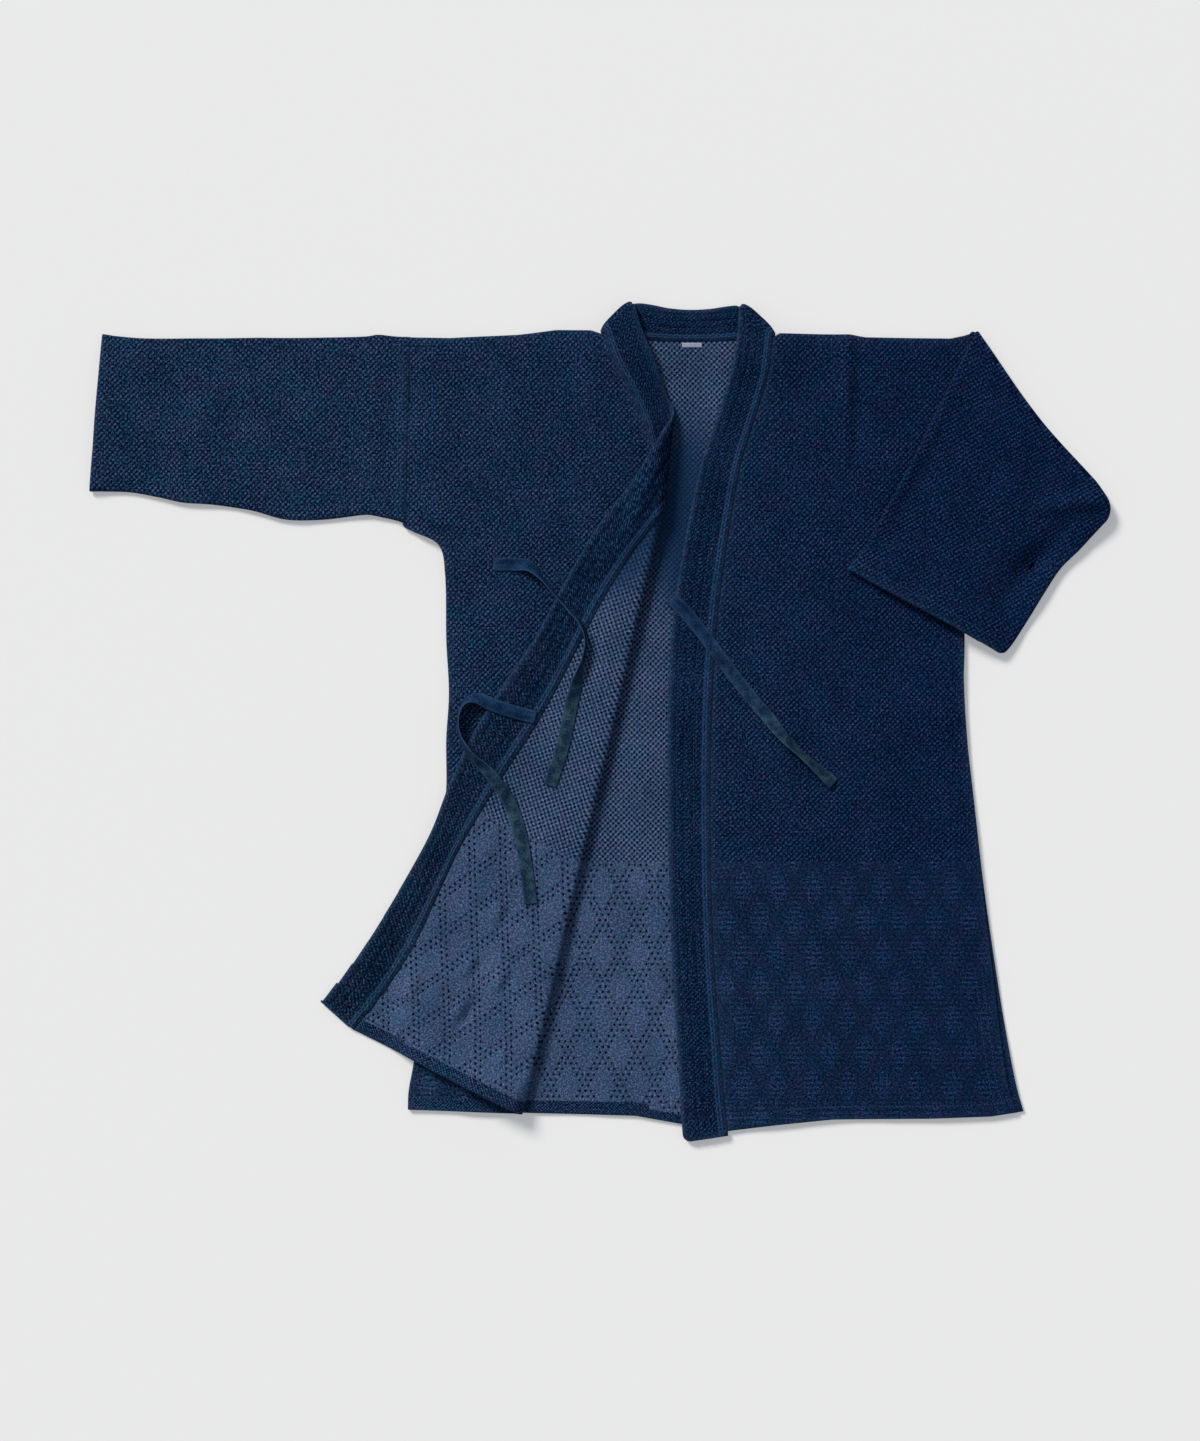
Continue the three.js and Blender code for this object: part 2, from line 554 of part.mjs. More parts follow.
function leftFront() {
  const first = LEFT_FRONT[0];
  const final = LEFT_FRONT[LEFT_FRONT.length - 1];
  const start = { x: first.seamX + EDGE_GAP, y: first.seamY };
  const top = withLine(LEFT_TOP, start, { x: first.sideX, y: first.sideY });
  const hemStart = { x: final.seamX + EDGE_GAP, y: final.seamY };
  const hem = withLine(HEM, hemStart, { x: final.sideX, y: final.sideY });
  const columns = FRONT_COLUMNS.left;
  const middle = FRONT_LEVEL + CLOTH / 2;
  const grid = rowNumbers(LEFT_FRONT, () => 2).map((n) => {
    const row = alongTable(LEFT_FRONT, n);
    return Array.from({ length: columns }, (_, j) => {
      const share = j / (columns - 1);
      const x = mix(row.seamX + EDGE_GAP, row.sideX, share);
      const y = mix(row.seamY, row.sideY, share);
      const fromTop = mix(first.seamY, first.sideY, share) - y;
      const fromHem = y - mix(final.seamY, final.sideY, share);
      return new THREE.Vector3(x, blendEnds(x, y, top, hem, fromTop, fromHem), middle);
    });
  });
  return sheet(grid, evenly(CLOTH / 2), evenly(CLOTH / 2));
}

// The whole band: up the turned-back front, over two folds behind the neck and down the left front
function collarBand() {
  const half = BAND / 2;
  const columns = BAND_COLUMNS;
  const right = [...rightBandRows].reverse().map(({ seam, free }) => (
    rowBetween(seam, free, columns, () => 0).map((p) => turnBack(p.x, p.y, BAND, neckLift(p.y)))
  ));
  const behindRows = rowNumbers(BACK_BAND, () => 2).map((n) => alongTable(BACK_BAND, n)).reverse();
  const behind = behindRows.map((row) => (
    rowBetween({ x: row.seamX, y: row.seamY }, { x: row.freeX, y: row.freeY }, columns, () => half)
  ));
  const downRows = rowNumbers(LEFT_FRONT, () => 2).map((n) => alongTable(LEFT_FRONT, n));
  const down = downRows.map((row) => rowBetween(
    { x: row.seamX, y: row.seamY },
    { x: row.freeX, y: row.freeY },
    columns,
    (x, y) => FRONT_LEVEL + half + neckLift(y),
  ));
  const outward = (row, side) => {
    const [a, b] = [row[0], row[columns - 1]];
    const length = Math.hypot(b.x - a.x, b.y - a.y);
    return { x: (side * (a.y - b.y)) / length, y: (side * (b.x - a.x)) / length };
  };
  const upperRight = right[right.length - 1];
  const firstFold = foldRows(upperRight, outward(upperRight, 1), NECK_FOLD_RADIUS, -1);
  const lowerLeft = behind[behind.length - 1];
  const secondFold = foldRows(lowerLeft, outward(lowerLeft, -1), NECK_FOLD_RADIUS, 1);
  const grid = [...right, ...firstFold, ...behind, ...secondFold, ...down];
  // Quilting: the outer face swells between the rows of stitching
  const swell = (i, j) => {
    const phase = (j / (columns - 1)) * QUILT.channels * Math.PI;
    const fold = i >= right.length - 1 && i <= right.length + firstFold.length + behind.length + secondFold.length;
    return half - (fold ? 0 : QUILT.rise) * (1 - Math.abs(Math.sin(phase)));
  };
  return sheet(grid, swell, evenly(half));
}

function rightSleeve() {
  const middle = CLOTH + SLEEVE_GAP / 2;
  const inset = middle;
  const grid = rowNumbers(RIGHT_SLEEVE, () => 1).map((n) => {
    const row = alongTable(RIGHT_SLEEVE, n);
    const top = { x: row.topX, y: row.topY - inset };
    const low = { x: row.lowX, y: row.lowY + inset };
    return rowBetween(top, low, SLEEVE_COLUMNS, () => middle);
  });
  const strip = (i) => (i < SEAM_STRIP.rows ? SEAM_STRIP.rise : 0);
  return flatTube(grid, strip);
}

function leftSleeve() {
  const middle = CLOTH + SLEEVE_GAP / 2;
  const upper = FLIPPED_LEVEL + middle;
  const ends = (row) => [{ x: row.topX, y: row.topY }, { x: row.lowX, y: row.lowY }];
  const under = rowNumbers(LEFT_SLEEVE_UNDER, () => 2).map((n) => (
    rowBetween(...ends(alongTable(LEFT_SLEEVE_UNDER, n)), SLEEVE_COLUMNS, () => middle)
  ));
  const fall = (x, y) => {
    const pastSide = x - LEFT_SLEEVE_FALL.sideX;
    const edgeY = LEFT_SLEEVE_FALL.cornerY + (x - LEFT_SLEEVE_FALL.cornerX) * LEFT_SLEEVE_FALL.slope;
    return FLIPPED_LEVEL * smooth(Math.min(pastSide, edgeY - y) / LEFT_SLEEVE_FALL.width);
  };
  const foldTop = middle + 2 * SLEEVE_FOLD_RADIUS;
  const over = rowNumbers(LEFT_SLEEVE_OVER, () => 1).map((n) => {
    const settled = smooth(n);
    const height = (x, y) => mix(foldTop, upper - fall(x, y), settled);
    return rowBetween(...ends(alongTable(LEFT_SLEEVE_OVER, n)), SLEEVE_COLUMNS, height);
  });
  const last = under[under.length - 1];
  const [a, b] = [last[0], last[SLEEVE_COLUMNS - 1]];
  const length = Math.hypot(b.x - a.x, b.y - a.y);
  const outward = { x: (a.y - b.y) / length, y: (b.x - a.x) / length };
  const fold = foldRows(last, outward, SLEEVE_FOLD_RADIUS, 1);
  return flatTube([...under, ...fold, ...over], () => 0);
}

// Flat strap along a table of places, turned about its line
function strap(table) {
  const places = rowNumbers(table, () => TIE_STEPS).map((n) => alongTable(table, n));
  const points = places.map((p) => {
    const turn = THREE.MathUtils.degToRad(p.turn);
    const depth = (STRAP * Math.cos(turn) + STRAP_WIDTH * Math.abs(Math.sin(turn))) / 2;
    return new THREE.Vector3(p.x, p.y, p.over + SEAM_GAP + depth);
  });
  const up = new THREE.Vector3(0, 0, 1);
  const vertices = [];
  points.forEach((point, i) => {
    const ahead = points[Math.min(i + 1, points.length - 1)];
    const behind = points[Math.max(i - 1, 0)];
    const along = ahead.clone().sub(behind).normalize();
    const level = up.clone().cross(along).normalize();
    const turn = THREE.MathUtils.degToRad(places[i].turn);
    const side = level.clone().applyAxisAngle(along, turn);
    const face = side.clone().cross(along).normalize();
    for (const [a, b] of [[-1, -1], [1, -1], [1, 1], [-1, 1]]) {
      const corner = point.clone().addScaledVector(side, (a * STRAP_WIDTH) / 2);
      vertices.push(corner.addScaledVector(face, (b * STRAP) / 2));
    }
  });
  const last = (points.length - 1) * 4;
  const triangles = loopSkin(0, points.length, 4);
  triangles.push([0, 2, 1], [0, 3, 2], [last, last + 1, last + 2], [last, last + 2, last + 3]);
  return closedBody(vertices, triangles);
}

function neckLabel() {
  const box = new THREE.BoxGeometry(NECK_LABEL.width, NECK_LABEL.height, NECK_LABEL.thickness);
  const z = FRONT_LEVEL + NECK_LABEL.thickness / 2;
  return box.translate(NECK_LABEL.x, NECK_LABEL.y, z);
}

const cloth = (colour) => new THREE.MeshStandardMaterial({
  color: colour,
  roughness: 0.95,
  metalness: 0,
  side: THREE.DoubleSide,
});
const OUTER_INDIGO = 0x16263f;
const INNER_INDIGO = 0x334563;
const TIE_BLUE = 0x1f3a52;
const LABEL_GREY = 0x8f96a6;

const pieces = [
  ['back_panel', backPanel, INNER_INDIGO],
  ['right_front', rightFront, OUTER_INDIGO],
  ['left_front', leftFront, OUTER_INDIGO],
  ['collar_band', collarBand, OUTER_INDIGO],
  ['right_sleeve', rightSleeve, OUTER_INDIGO],
  ['left_sleeve', leftSleeve, OUTER_INDIGO],
  ['chest_tie', () => strap(CHEST_TIE), TIE_BLUE],
  ['hip_tie', () => strap(HIP_TIE), TIE_BLUE],
  ['left_tie', () => strap(LEFT_TIE), TIE_BLUE],
  ['neck_label', neckLabel, LABEL_GREY],
];

const jacket = new THREE.Group();
for (const [name, shape, colour] of pieces) {
  const mesh = new THREE.Mesh(shape(), cloth(colour));
  mesh.name = name;
  jacket.add(mesh);
}
// The origin is under the middle of the jacket as it lies
const extent = new THREE.Box3().setFromObject(jacket);
const centre = extent.getCenter(new THREE.Vector3());
jacket.position.set(-centre.x, -centre.y, 0);

export default jacket;
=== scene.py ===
# Kendo jacket laid flat, its right front turned back and its left sleeve folded in
# Left and right in the names are the wearer's. Tables and sizes are in millimetres, meshes in metres.
import math

import bpy
import numpy as np
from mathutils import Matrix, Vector
from mathutils.bvhtree import BVHTree


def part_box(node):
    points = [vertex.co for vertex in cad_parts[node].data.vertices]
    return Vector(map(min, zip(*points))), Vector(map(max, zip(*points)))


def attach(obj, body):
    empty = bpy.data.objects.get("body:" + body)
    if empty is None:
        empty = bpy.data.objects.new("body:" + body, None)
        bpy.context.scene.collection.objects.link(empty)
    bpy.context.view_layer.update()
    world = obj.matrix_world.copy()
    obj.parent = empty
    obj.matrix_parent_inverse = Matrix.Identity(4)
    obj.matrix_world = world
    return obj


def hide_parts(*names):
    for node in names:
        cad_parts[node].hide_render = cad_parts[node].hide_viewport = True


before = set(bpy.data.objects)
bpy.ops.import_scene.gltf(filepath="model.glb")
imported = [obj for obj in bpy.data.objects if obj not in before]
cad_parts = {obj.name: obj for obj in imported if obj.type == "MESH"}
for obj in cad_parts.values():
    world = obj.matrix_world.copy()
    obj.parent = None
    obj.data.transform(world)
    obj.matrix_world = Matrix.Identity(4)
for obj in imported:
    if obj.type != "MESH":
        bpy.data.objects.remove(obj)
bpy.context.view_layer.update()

MM = 0.001

# The bare label at the back of the neck. Its middle is known in the tables and in the frame, and gives the
# shift between them
NECK_LABEL = {"x": 103, "y": 421.4, "width": 22.4, "height": 5.4, "thickness": 0.8}
label_low, label_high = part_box("neck_label")
SHIFT = np.array([
    (label_low[0] + label_high[0]) / 2 - NECK_LABEL["x"] * MM,
    (label_low[1] + label_high[1]) / 2 - NECK_LABEL["y"] * MM,
    0,
])

# The photograph's view, straight from above
VIEW = {"x": 0, "y": 1.4, "height": 3810, "lens": 85, "sensor": 36}

camera_data = bpy.data.cameras.new("view_from_above")
camera_data.lens = VIEW["lens"]
camera_data.sensor_width = VIEW["sensor"]
camera_data.clip_end = 20
camera = bpy.data.objects.new("view_from_above", camera_data)
camera.location = (VIEW["x"] * MM + SHIFT[0], VIEW["y"] * MM + SHIFT[1], VIEW["height"] * MM)
bpy.context.collection.objects.link(camera)
bpy.context.scene.camera = camera


def table(columns, *rows):
    """Table with named columns: one array for each name."""
    return dict(zip(columns.split(), np.array(rows, float).T))


# Walls and gaps
CLOTH = 2.4
BAND = 4.5
BAND_WIDTH = 50
STRAP = 1.5
STRAP_WIDTH = 14.6
# A strap's ends are thicker, rows of stitching by its edges press it in, and its heights are evened out
# over this many places each way
STRAP_END = {"length": 9, "thicker": 0.25}
STRAP_STITCHING = {"inset": 2.4, "width": 0.7, "depth": 0.22}
EVENED = 3
SEAM_GAP = 0.3
# How far the sewn edges of the body run under the band
SEWN_IN = 0.7
FRONT_LEVEL = CLOTH + SEAM_GAP
FLIPPED_LEVEL = FRONT_LEVEL + CLOTH + SEAM_GAP

# The turned-back front: its roll over the crease, and where it comes down past the body's side
ROLL_REACH = 8
ROLL_LIFT = 6.1
ROLL_SETTLE = 86
# The stiff band makes the roll taller where it turns over
CREST = {"y": 258, "width": 84, "rise": 4.2}
FALL_CLEAR = 7
FALL_WIDTH = 30
NECK_FOLD_RADIUS = 5.6
NECK_LIFT = {"from": 350, "to": 416, "rise": 2 * NECK_FOLD_RADIUS - FRONT_LEVEL, "width": 70}
SLEEVE_FOLD_RADIUS = 3.2
SLEEVE_GAP = 0.3
# The run of cloth round a sleeve's folded edge
EDGE_RUN = 8
EDGE_FADE = 70

# Sewn details
TURNED_HEM = {"width": 16, "rise": 1.2}
# The side seams end above the hem, in slits with a sewn edge
SLIT = {"height": 330}
SEAM_STRIP = {"width": 13.5, "rise": 2.4, "overlap": 6}
QUILT = {"channels": 5, "depth": 1.0}
PIPING = {"shares": (0.12, 0.19), "width": 0.02, "rise": 1.5}
CUFF_HEM = {"width": 15, "rise": 0.8}
CUFF_MOUTH = {"length": 70, "opening": 3}
CORNERS = {"neck": 3, "band_end": 9, "sleeve_fold": 17, "cuff": 5}
# A rounded edge keeps this share of its thickness
THIN_EDGE = 0.12
# How far in from an edge wear shows, and its share along a sleeve's folded edges
WEAR_REACH = 3.5
FOLD_WEAR = 0.15
# Where the turned-back layer and the one below it have their own folds, from the crease
TURNED = {"from": 2, "over": 9}
UNTURNED = {"from": 4, "over": 20}
# The left sleeve past its fold: how high it lies, and how soon it has its own folds
LEFT_SLEEVE_LOFT = 1.6
LEFT_SLEEVE_TURN = 20
# Its sewn end lies just under the body's cloth
SEWN_END = {"drop": 0.6, "from": 4, "over": 8}
# How far the sleeve's fold curves in, the share of it that does, and how far from it that reaches
FOLD_SAG = {"depth": 8.5, "end": 0.92, "width": 60}

# Crease of the turned-back front, from the collar's free edge to the hem
FOLD_LINE = table(
    "x y",
    (82, 347), (75, 284), (67, 224), (41, 112), (15, -3), (-12, -117), (-39, -233), (-65, -347), (-87, -435),
)

# Armholes and sides of the body, a row for each station from shoulder to hem
SIDES = table(
    "left_x left_y right_x right_y",
    (-217, 430, 413, 433), (-217.7, 395, 411.8, 395), (-218.4, 360, 410.6, 360), (-219.1, 325, 409.5, 325),
    (-219.8, 290, 408.3, 290), (-220.4, 255, 407.2, 255), (-221, 222, 406.2, 225), (-210, 213, 405.5, 205),
    (-180, 197, 405.5, 188), (-173, 160, 406, 158), (-172, 92, 408, 92), (-169, 33, 407, 33),
    (-172, -20, 411, -20), (-172.5, -82, 418, -82), (-184, -144, 425, -146), (-190, -200, 432, -203),
    (-195, -256, 440, -258), (-202, -316, 449, -316), (-208, -377, 459.5, -376), (-214, -412, 467, -411),
    (-215, -434, 474, -436),
)
# Row of SIDES at the armpit, where the body's own side begins
ARMPIT_ROW = 8

# Band seam of the right front as cut, before the front is turned back, at the rows of SIDES
RIGHT_SEAM = table(
    "x y",
    (4, 433.6), (16, 402), (35, 367), (52, 328), (61, 290), (66, 255), (70, 228), (75, 203), (80, 178),
    (83, 145), (87, 85), (89, 15), (92, -45), (98, -99), (103, -149), (107, -205), (106, -265), (106, -325),
    (113, -388), (118, -425), (122, -446),
)

# Right band as cut, from neck to hem: the seam row that each line across it starts at, and its free edge
RIGHT_BAND = table(
    "row x y",
    (0, 38, 468), (0.7, 46, 441), (1.4, 57, 415), (2.3, 66, 391), (3.3, 74, 369), (4.3, 78, 358),
    (5, 80.5, 351), (5.6, 82, 346), (6.1, 85, 336), (6.6, 89, 322), (7.1, 95, 303), (7.6, 104, 276),
    (8.2, 114, 250), (8.8, 122, 222), (9.4, 128, 188), (10.2, 132, 130), (11, 136, 50), (12, 146, -22),
    (13, 151, -85), (14, 149, -145), (15, 144, -202), (16, 147, -266), (17, 153, -326), (18, 161, -382),
    (19, 166, -412), (20, 170, -434),
)

# Left band and left front, from neck to hem: band seam, band free edge and front side
LEFT_FRONT = table(
    "seam_x seam_y free_x free_y side_x side_y",
    (192.5, 430, 155.5, 465.5, 413, 433), (191, 414, 153, 430, 412.2, 407), (187, 385, 147, 395, 411, 372),
    (175, 345, 134, 352, 409.6, 330), (158, 290, 114, 292, 408, 280), (147, 230, 100, 230, 406.2, 226),
    (138, 170, 89, 170, 405.6, 170), (131, 110, 81, 110, 407, 110), (126.5, 45, 77, 45, 407, 45),
    (124, -25, 75.5, -25, 411, -22), (123.5, -95, 76, -95, 418, -90), (124, -165, 77, -165, 426, -160),
    (126, -235, 79, -235, 433, -230), (130, -305, 83, -305, 442, -300), (135, -370, 87, -370, 450, -365),
    (139, -422, 90, -428, 457, -408), (143.5, -463, 93, -470.5, 467, -437),
)

# Collar behind the neck, from its left fold to its right one
BACK_BAND = table(
    "seam_x seam_y free_x free_y",
    (192.5, 430, 155.5, 465.5), (175, 428.5, 150, 465.8), (154, 427, 139, 464.5), (130, 425.6, 122, 462),
    (101, 425.3, 100, 461), (72, 425.6, 78, 462.5), (46, 427, 60, 466), (24, 430, 47, 468),
    (4, 433.6, 38, 468),
)

# Upper edges of the back and the fronts, and the lower edge
BACK_TOP = table(
    "x y",
    (-217, 430), (-168, 429), (-128, 431), (-90, 433), (-49, 438), (-10, 437.5), (3, 433.6), (24, 430.8),
    (46, 428), (72, 426.6), (101, 426.3), (130, 426.6), (154, 428), (175, 429.5), (193.4, 430.6),
    (200, 433.5), (240, 433.5), (280, 433), (297, 430), (345, 428.5), (392, 428.5), (413, 433),
)
RIGHT_TOP = table("x y", (-217, 430), (-168, 429), (-90, 433), (-49, 438), (-10, 437), (3, 432.4))
LEFT_TOP = table("x y", (193, 428.6), (200, 433.5), (280, 433), (297, 430), (392, 428.5), (413, 433))
HEM = table(
    "x y",
    (-215, -434), (-72, -438), (40, -441), (90, -450), (143, -458), (200, -451), (260, -445), (370, -444),
    (437, -441.5), (474, -436),
)

# Right sleeve, from armhole to cuff: its upper and lower edges
RIGHT_SLEEVE = table(
    "top_x top_y low_x low_y",
    (-217.5, 430.5, -222.3, 221), (-231, 431, -235, 226), (-248, 433, -253, 230.5), (-263, 431, -267, 231),
    (-302, 430, -309, 226), (-343, 429.5, -351, 226), (-381, 429.5, -389, 236), (-421, 429, -431, 242.5),
    (-455, 429, -466, 245), (-482, 428.7, -494, 251), (-513, 429, -525, 256.5), (-541, 431.5, -554, 257.5),
    (-557, 434, -571, 257.3),
)

# Left sleeve, from armhole to its fold, then back to the cuff
LEFT_SLEEVE_UNDER = table(
    "top_x top_y low_x low_y",
    (408, 430, 401, 202), (413, 431, 456, 212), (417, 434, 511, 223), (421.5, 433.5, 576, 235),
)
LEFT_SLEEVE_OVER = table(
    "top_x top_y low_x low_y",
    (421.5, 433.5, 576, 235), (402, 395, 557, 215), (384, 359, 536, 192), (361, 312, 515, 171),
    (338.5, 268, 497, 144), (316, 227, 480, 116), (296, 191, 462, 88), (277.5, 169.5, 451, 75),
)
LEFT_SLEEVE_FALL = {"side_x": 422, "corner_x": 406.8, "corner_y": 190, "slope": 0.195, "width": 34}

# Ties: the middle line of each strap and its turn about that line in degrees
CHEST_TIE = table(
    "x y turn",
    (-119, 176, 0), (-98, 176, 0), (-80, 174, -30), (-66, 161, -72), (-50, 142, -80),
    (-34, 124, -78), (-21, 108, -76), (-16, 90, -82), (-20, 66, -74),
    (-28, 36, -24), (-35, 4, 0), (-43, -32, 0), (-56, -71, 0),
)
HIP_TIE = table(
    "x y turn",
    (-72, 5, 0), (-96, 11, 0), (-120, 19, 0), (-137, 26, 35), (-151, 22, 70),
    (-158, 6, 84), (-156, -16, 80), (-143, -38, 60), (-124, -57, 30), (-106, -82, 6),
    (-94, -108, 0), (-85, -146, 0), (-77, -203, 0),
)
LEFT_TIE = table(
    "x y turn",
    (80, 138, 0), (101, 116, 0), (127, 82, 0), (157, 42, 0), (185, 8, -4),
    (206, -18, -38), (224, -36, -58), (242, -52, -44), (261, -69, -14),
)

# Soft ridges, and troughs where the height is negative: start, middle and end of each bent line
RIGHT_FRONT_FOLDS = table(
    "x1 y1 x2 y2 x3 y3 width height",
    (-214, 238, -190, 224, -150, 218, 7, 3.6),
    (-208, 217, -176, 198, -140, 170, 7, 3.2),
    (-178, 190, -160, 166, -152, 128, 8, 2.4),
    (-168, 210, -140, 200, -112, 206, 8, -1.6),
    (-170, 60, -150, 20, -152, -30, 10, 2.6),
    (-166, -40, -150, -70, -150, -110, 9, 1.8),
    (-120, 420, -90, 350, -96, 280, 15, 2.0),
    (-30, 410, 0, 330, 20, 250, 12, 2.2),
    (-120, 300, -60, 250, -20, 180, 16, 1.8),
    (-190, 380, -150, 330, -140, 280, 14, 1.6),
    (-70, 300, -50, 240, -62, 190, 12, 1.5),
)
FLIPPED_FOLDS = table(
    "x1 y1 x2 y2 x3 y3 width height",
    (-168, -338, -156, -318, -144, -298, 6.5, 3.8),
    (-162, -345, -150, -330, -136, -308, 5.9, -3.4),
    (-120, -304, -112, -290, -105, -276, 6.5, 3.4),
    (-114, -308, -106, -296, -98, -278, 5.9, -3.2),
    (-154, -286, -146, -272, -138, -258, 6.5, 3.2),
    (-147, -290, -140, -278, -131, -262, 5.9, -3),
    (-121, -228, -113, -214, -106, -198, 7.8, 3.4),
    (-114, -232, -106, -218, -98, -200, 5.9, -3.2),
    (-219, -318, -208, -294, -196, -266, 6.5, 3),
    (-118, -386, -110, -374, -102, -362, 6, 3),
    (-176, -392, -160, -366, -150, -346, 7, 1.8),
    (-90, -196, -104, -250, -122, -320, 9, 2.2),
    (-70, -150, -80, -210, -92, -270, 8, 1.9),
    (-50, -90, -70, -160, -84, -220, 11, 1.7),
    (-120, -120, -134, -180, -160, -240, 9, 2.0),
    (-20, 60, -30, 0, -46, -60, 12, 1.5),
    (20, 150, 6, 80, -6, 10, 9, 1.4),
    (-222, -368, -150, -402, -72, -440, 20, 14),
    (76, 344, 56, 270, 16, 176, 10, 8.5),
)
LEFT_FRONT_FOLDS = table(
    "x1 y1 x2 y2 x3 y3 width height",
    (276, 446, 277, 370, 272, 276, 8, 4.0),
    (289, 446, 290, 370, 286, 276, 7, -1.8),
    (151, -190, 156, -300, 150, -424, 10, 3.4),
    (210, 120, 222, -40, 216, -200, 20, 1.8),
    (300, 60, 312, -120, 330, -300, 22, 1.9),
    (380, 60, 392, -80, 410, -260, 16, 2.2),
    (196, -240, 206, -330, 200, -430, 14, 1.9),
    (250, -220, 262, -330, 262, -430, 16, 1.6),
    (330, -250, 348, -340, 352, -430, 15, 1.7),
    (206, 400, 196, 320, 176, 230, 13, 2.0),
    (330, 40, 370, 10, 404, 0, 12, 2.4),
    (240, 330, 252, 240, 236, 140, 18, 1.6),
)
LEFT_SLEEVE_FOLDS = table(
    "x1 y1 x2 y2 x3 y3 width height",
    (408, 400, 352, 290, 296, 190, 8, 4.2),
    (392, 392, 340, 290, 290, 196, 5, -1.2),
    (456, 310, 440, 250, 404, 170, 22, -3),
    (578, 246, 532, 248, 478, 236, 9, 8),
    (532, 226, 488, 186, 441, 122, 15, -9.5),
    (546, 200, 518, 164, 478, 104, 7, 5),
    (372, 300, 392, 220, 400, 160, 12, 2.4),
    (330, 196, 380, 168, 440, 132, 8, 2.6),
    (430, 350, 420, 300, 400, 250, 14, 2.4),
    (480, 300, 462, 260, 440, 240, 10, 2.0),
)
RIGHT_SLEEVE_FOLDS = table(
    "x1 y1 x2 y2 x3 y3 width height",
    (-246, 420, -262, 340, -258, 250, 11, 2.6),
    (-300, 424, -330, 340, -330, 240, 15, 2.2),
    (-350, 232, -400, 280, -450, 300, 14, 2.4),
    (-430, 420, -440, 350, -420, 270, 16, 1.8),
    (-500, 420, -512, 350, -504, 270, 16, 1.7),
    (-236, 236, -262, 262, -300, 270, 9, 2.6),
    (-380, 236, -400, 262, -440, 268, 8, 1.8),
)
BACK_FOLDS = table(
    "x1 y1 x2 y2 x3 y3 width height",
    (90, 380, 76, 250, 72, 120, 14, 1.4),
    (60, 60, 40, -80, 36, -200, 12, 1.6),
    (20, -160, 10, -280, -10, -400, 12, 1.8),
    (60, -220, 56, -320, 40, -420, 10, 1.5),
)

# Mesh fineness: the distance between points of each piece
BODY_STEP = 3.6
BACK_STEP = 4.6
SLEEVE_STEP = 3.4
BAND_STEP = 2.1
BAND_COLUMNS = 31
FRONT_COLUMNS = 112
STRAP_STEP = 2.5
# Rough width of a sleeve, for its number of points
SLEEVE_WIDTH = 200
# Extra points near each edge, which round it
EDGE_POINTS = (0.2, 0.7, 1.4)
CREASE_STEPS = 4
FOLD_STEPS = 16
ROUND_STEPS = 7
LINE_STEPS = 10
SHARE_STEPS = 160


def mix(a, b, t):
    return a + (b - a) * t


def smooth(t):
    c = np.clip(t, 0, 1)
    return c * c * (3 - 2 * c)


def unit(v):
    return v / np.maximum(np.linalg.norm(v, axis=-1, keepdims=True), 1e-9)


def along(rows, position):
    """Smooth curve through a table's rows, at row numbers that may have a fraction."""
    last = len(next(iter(rows.values()))) - 1
    position = np.asarray(position, float)
    index = np.clip(np.floor(position).astype(int), 0, last - 1)
    t = position - index
    result = {}
    for name, values in rows.items():
        ends = (2 * values[0] - values[1], 2 * values[-1] - values[-2])
        padded = np.concatenate([[ends[0]], values, [ends[1]]])
        a, b, c, d = (padded[index + step] for step in range(4))
        curve = 2 * b + (c - a) * t + (2 * a - 5 * b + 4 * c - d) * t**2
        result[name] = 0.5 * (curve + (3 * b - a - 3 * c + d) * t**3)
    return result


def even_places(distance, step, edges=True):
    """Places along a run of that length, about a step apart, with the extra ones that round its ends."""
    count = max(2, round(distance / step))
    places = np.linspace(0, distance, count + 1)
    if not edges:
        return places
    inner = places[(places > EDGE_POINTS[-1] + step / 3) & (places < distance - EDGE_POINTS[-1] - step / 3)]
    near = np.array((0, *EDGE_POINTS))
    return np.concatenate([near, inner, distance - near[::-1]])


def even_rows(rows, x, y, step, edges=True):
    """Row numbers of a table that stand about a step apart along one of its lines."""
    last = len(rows[x]) - 1
    fine = np.linspace(0, last, last * 24 + 1)
    line = along(rows, fine)
    run = np.hypot(np.diff(line[x]), np.diff(line[y]))
    distance = np.concatenate([[0], np.cumsum(run)])
    return np.interp(even_places(distance[-1], step, edges), distance, fine)


def spaced(rows, x, y, step, edges=True):
    """A table's curve at rows that stand about a step apart along one of its lines."""
    return along(rows, even_rows(rows, x, y, step, edges))


def run_of(points):
    """Distance along a line of points."""
    return np.concatenate([[0], np.cumsum(np.linalg.norm(np.diff(points, axis=0), axis=1))])


def nearest(line, x, y, endless=False):
    """Nearest point of a line of straight steps: its place, the step's direction, and the share along."""
    start = line[:-1]
    run = np.diff(line, axis=0)
    length = np.linalg.norm(run, axis=1)
    low = np.zeros(len(run))
    high = np.ones(len(run))
    if endless:
        low[0] = -np.inf
        high[-1] = np.inf
    points = np.stack([x, y], -1)[..., None, :]
    t = np.clip(((points - start) * run).sum(-1) / length**2, low, high)
    foot = start + run * t[..., None]
    best = np.linalg.norm(points - foot, axis=-1).argmin(-1)[..., None]
    place = np.take_along_axis(foot, best[..., None], -2)[..., 0, :]
    share = (np.take_along_axis(t, best, -1)[..., 0] + best[..., 0]) / len(run)
    return place, (run / length[:, None])[best[..., 0]], share


crease_last = len(FOLD_LINE["x"]) - 1
crease_rows = along(FOLD_LINE, np.linspace(0, crease_last, crease_last * CREASE_STEPS + 1))
CREASE = np.stack([crease_rows["x"], crease_rows["y"]], -1)


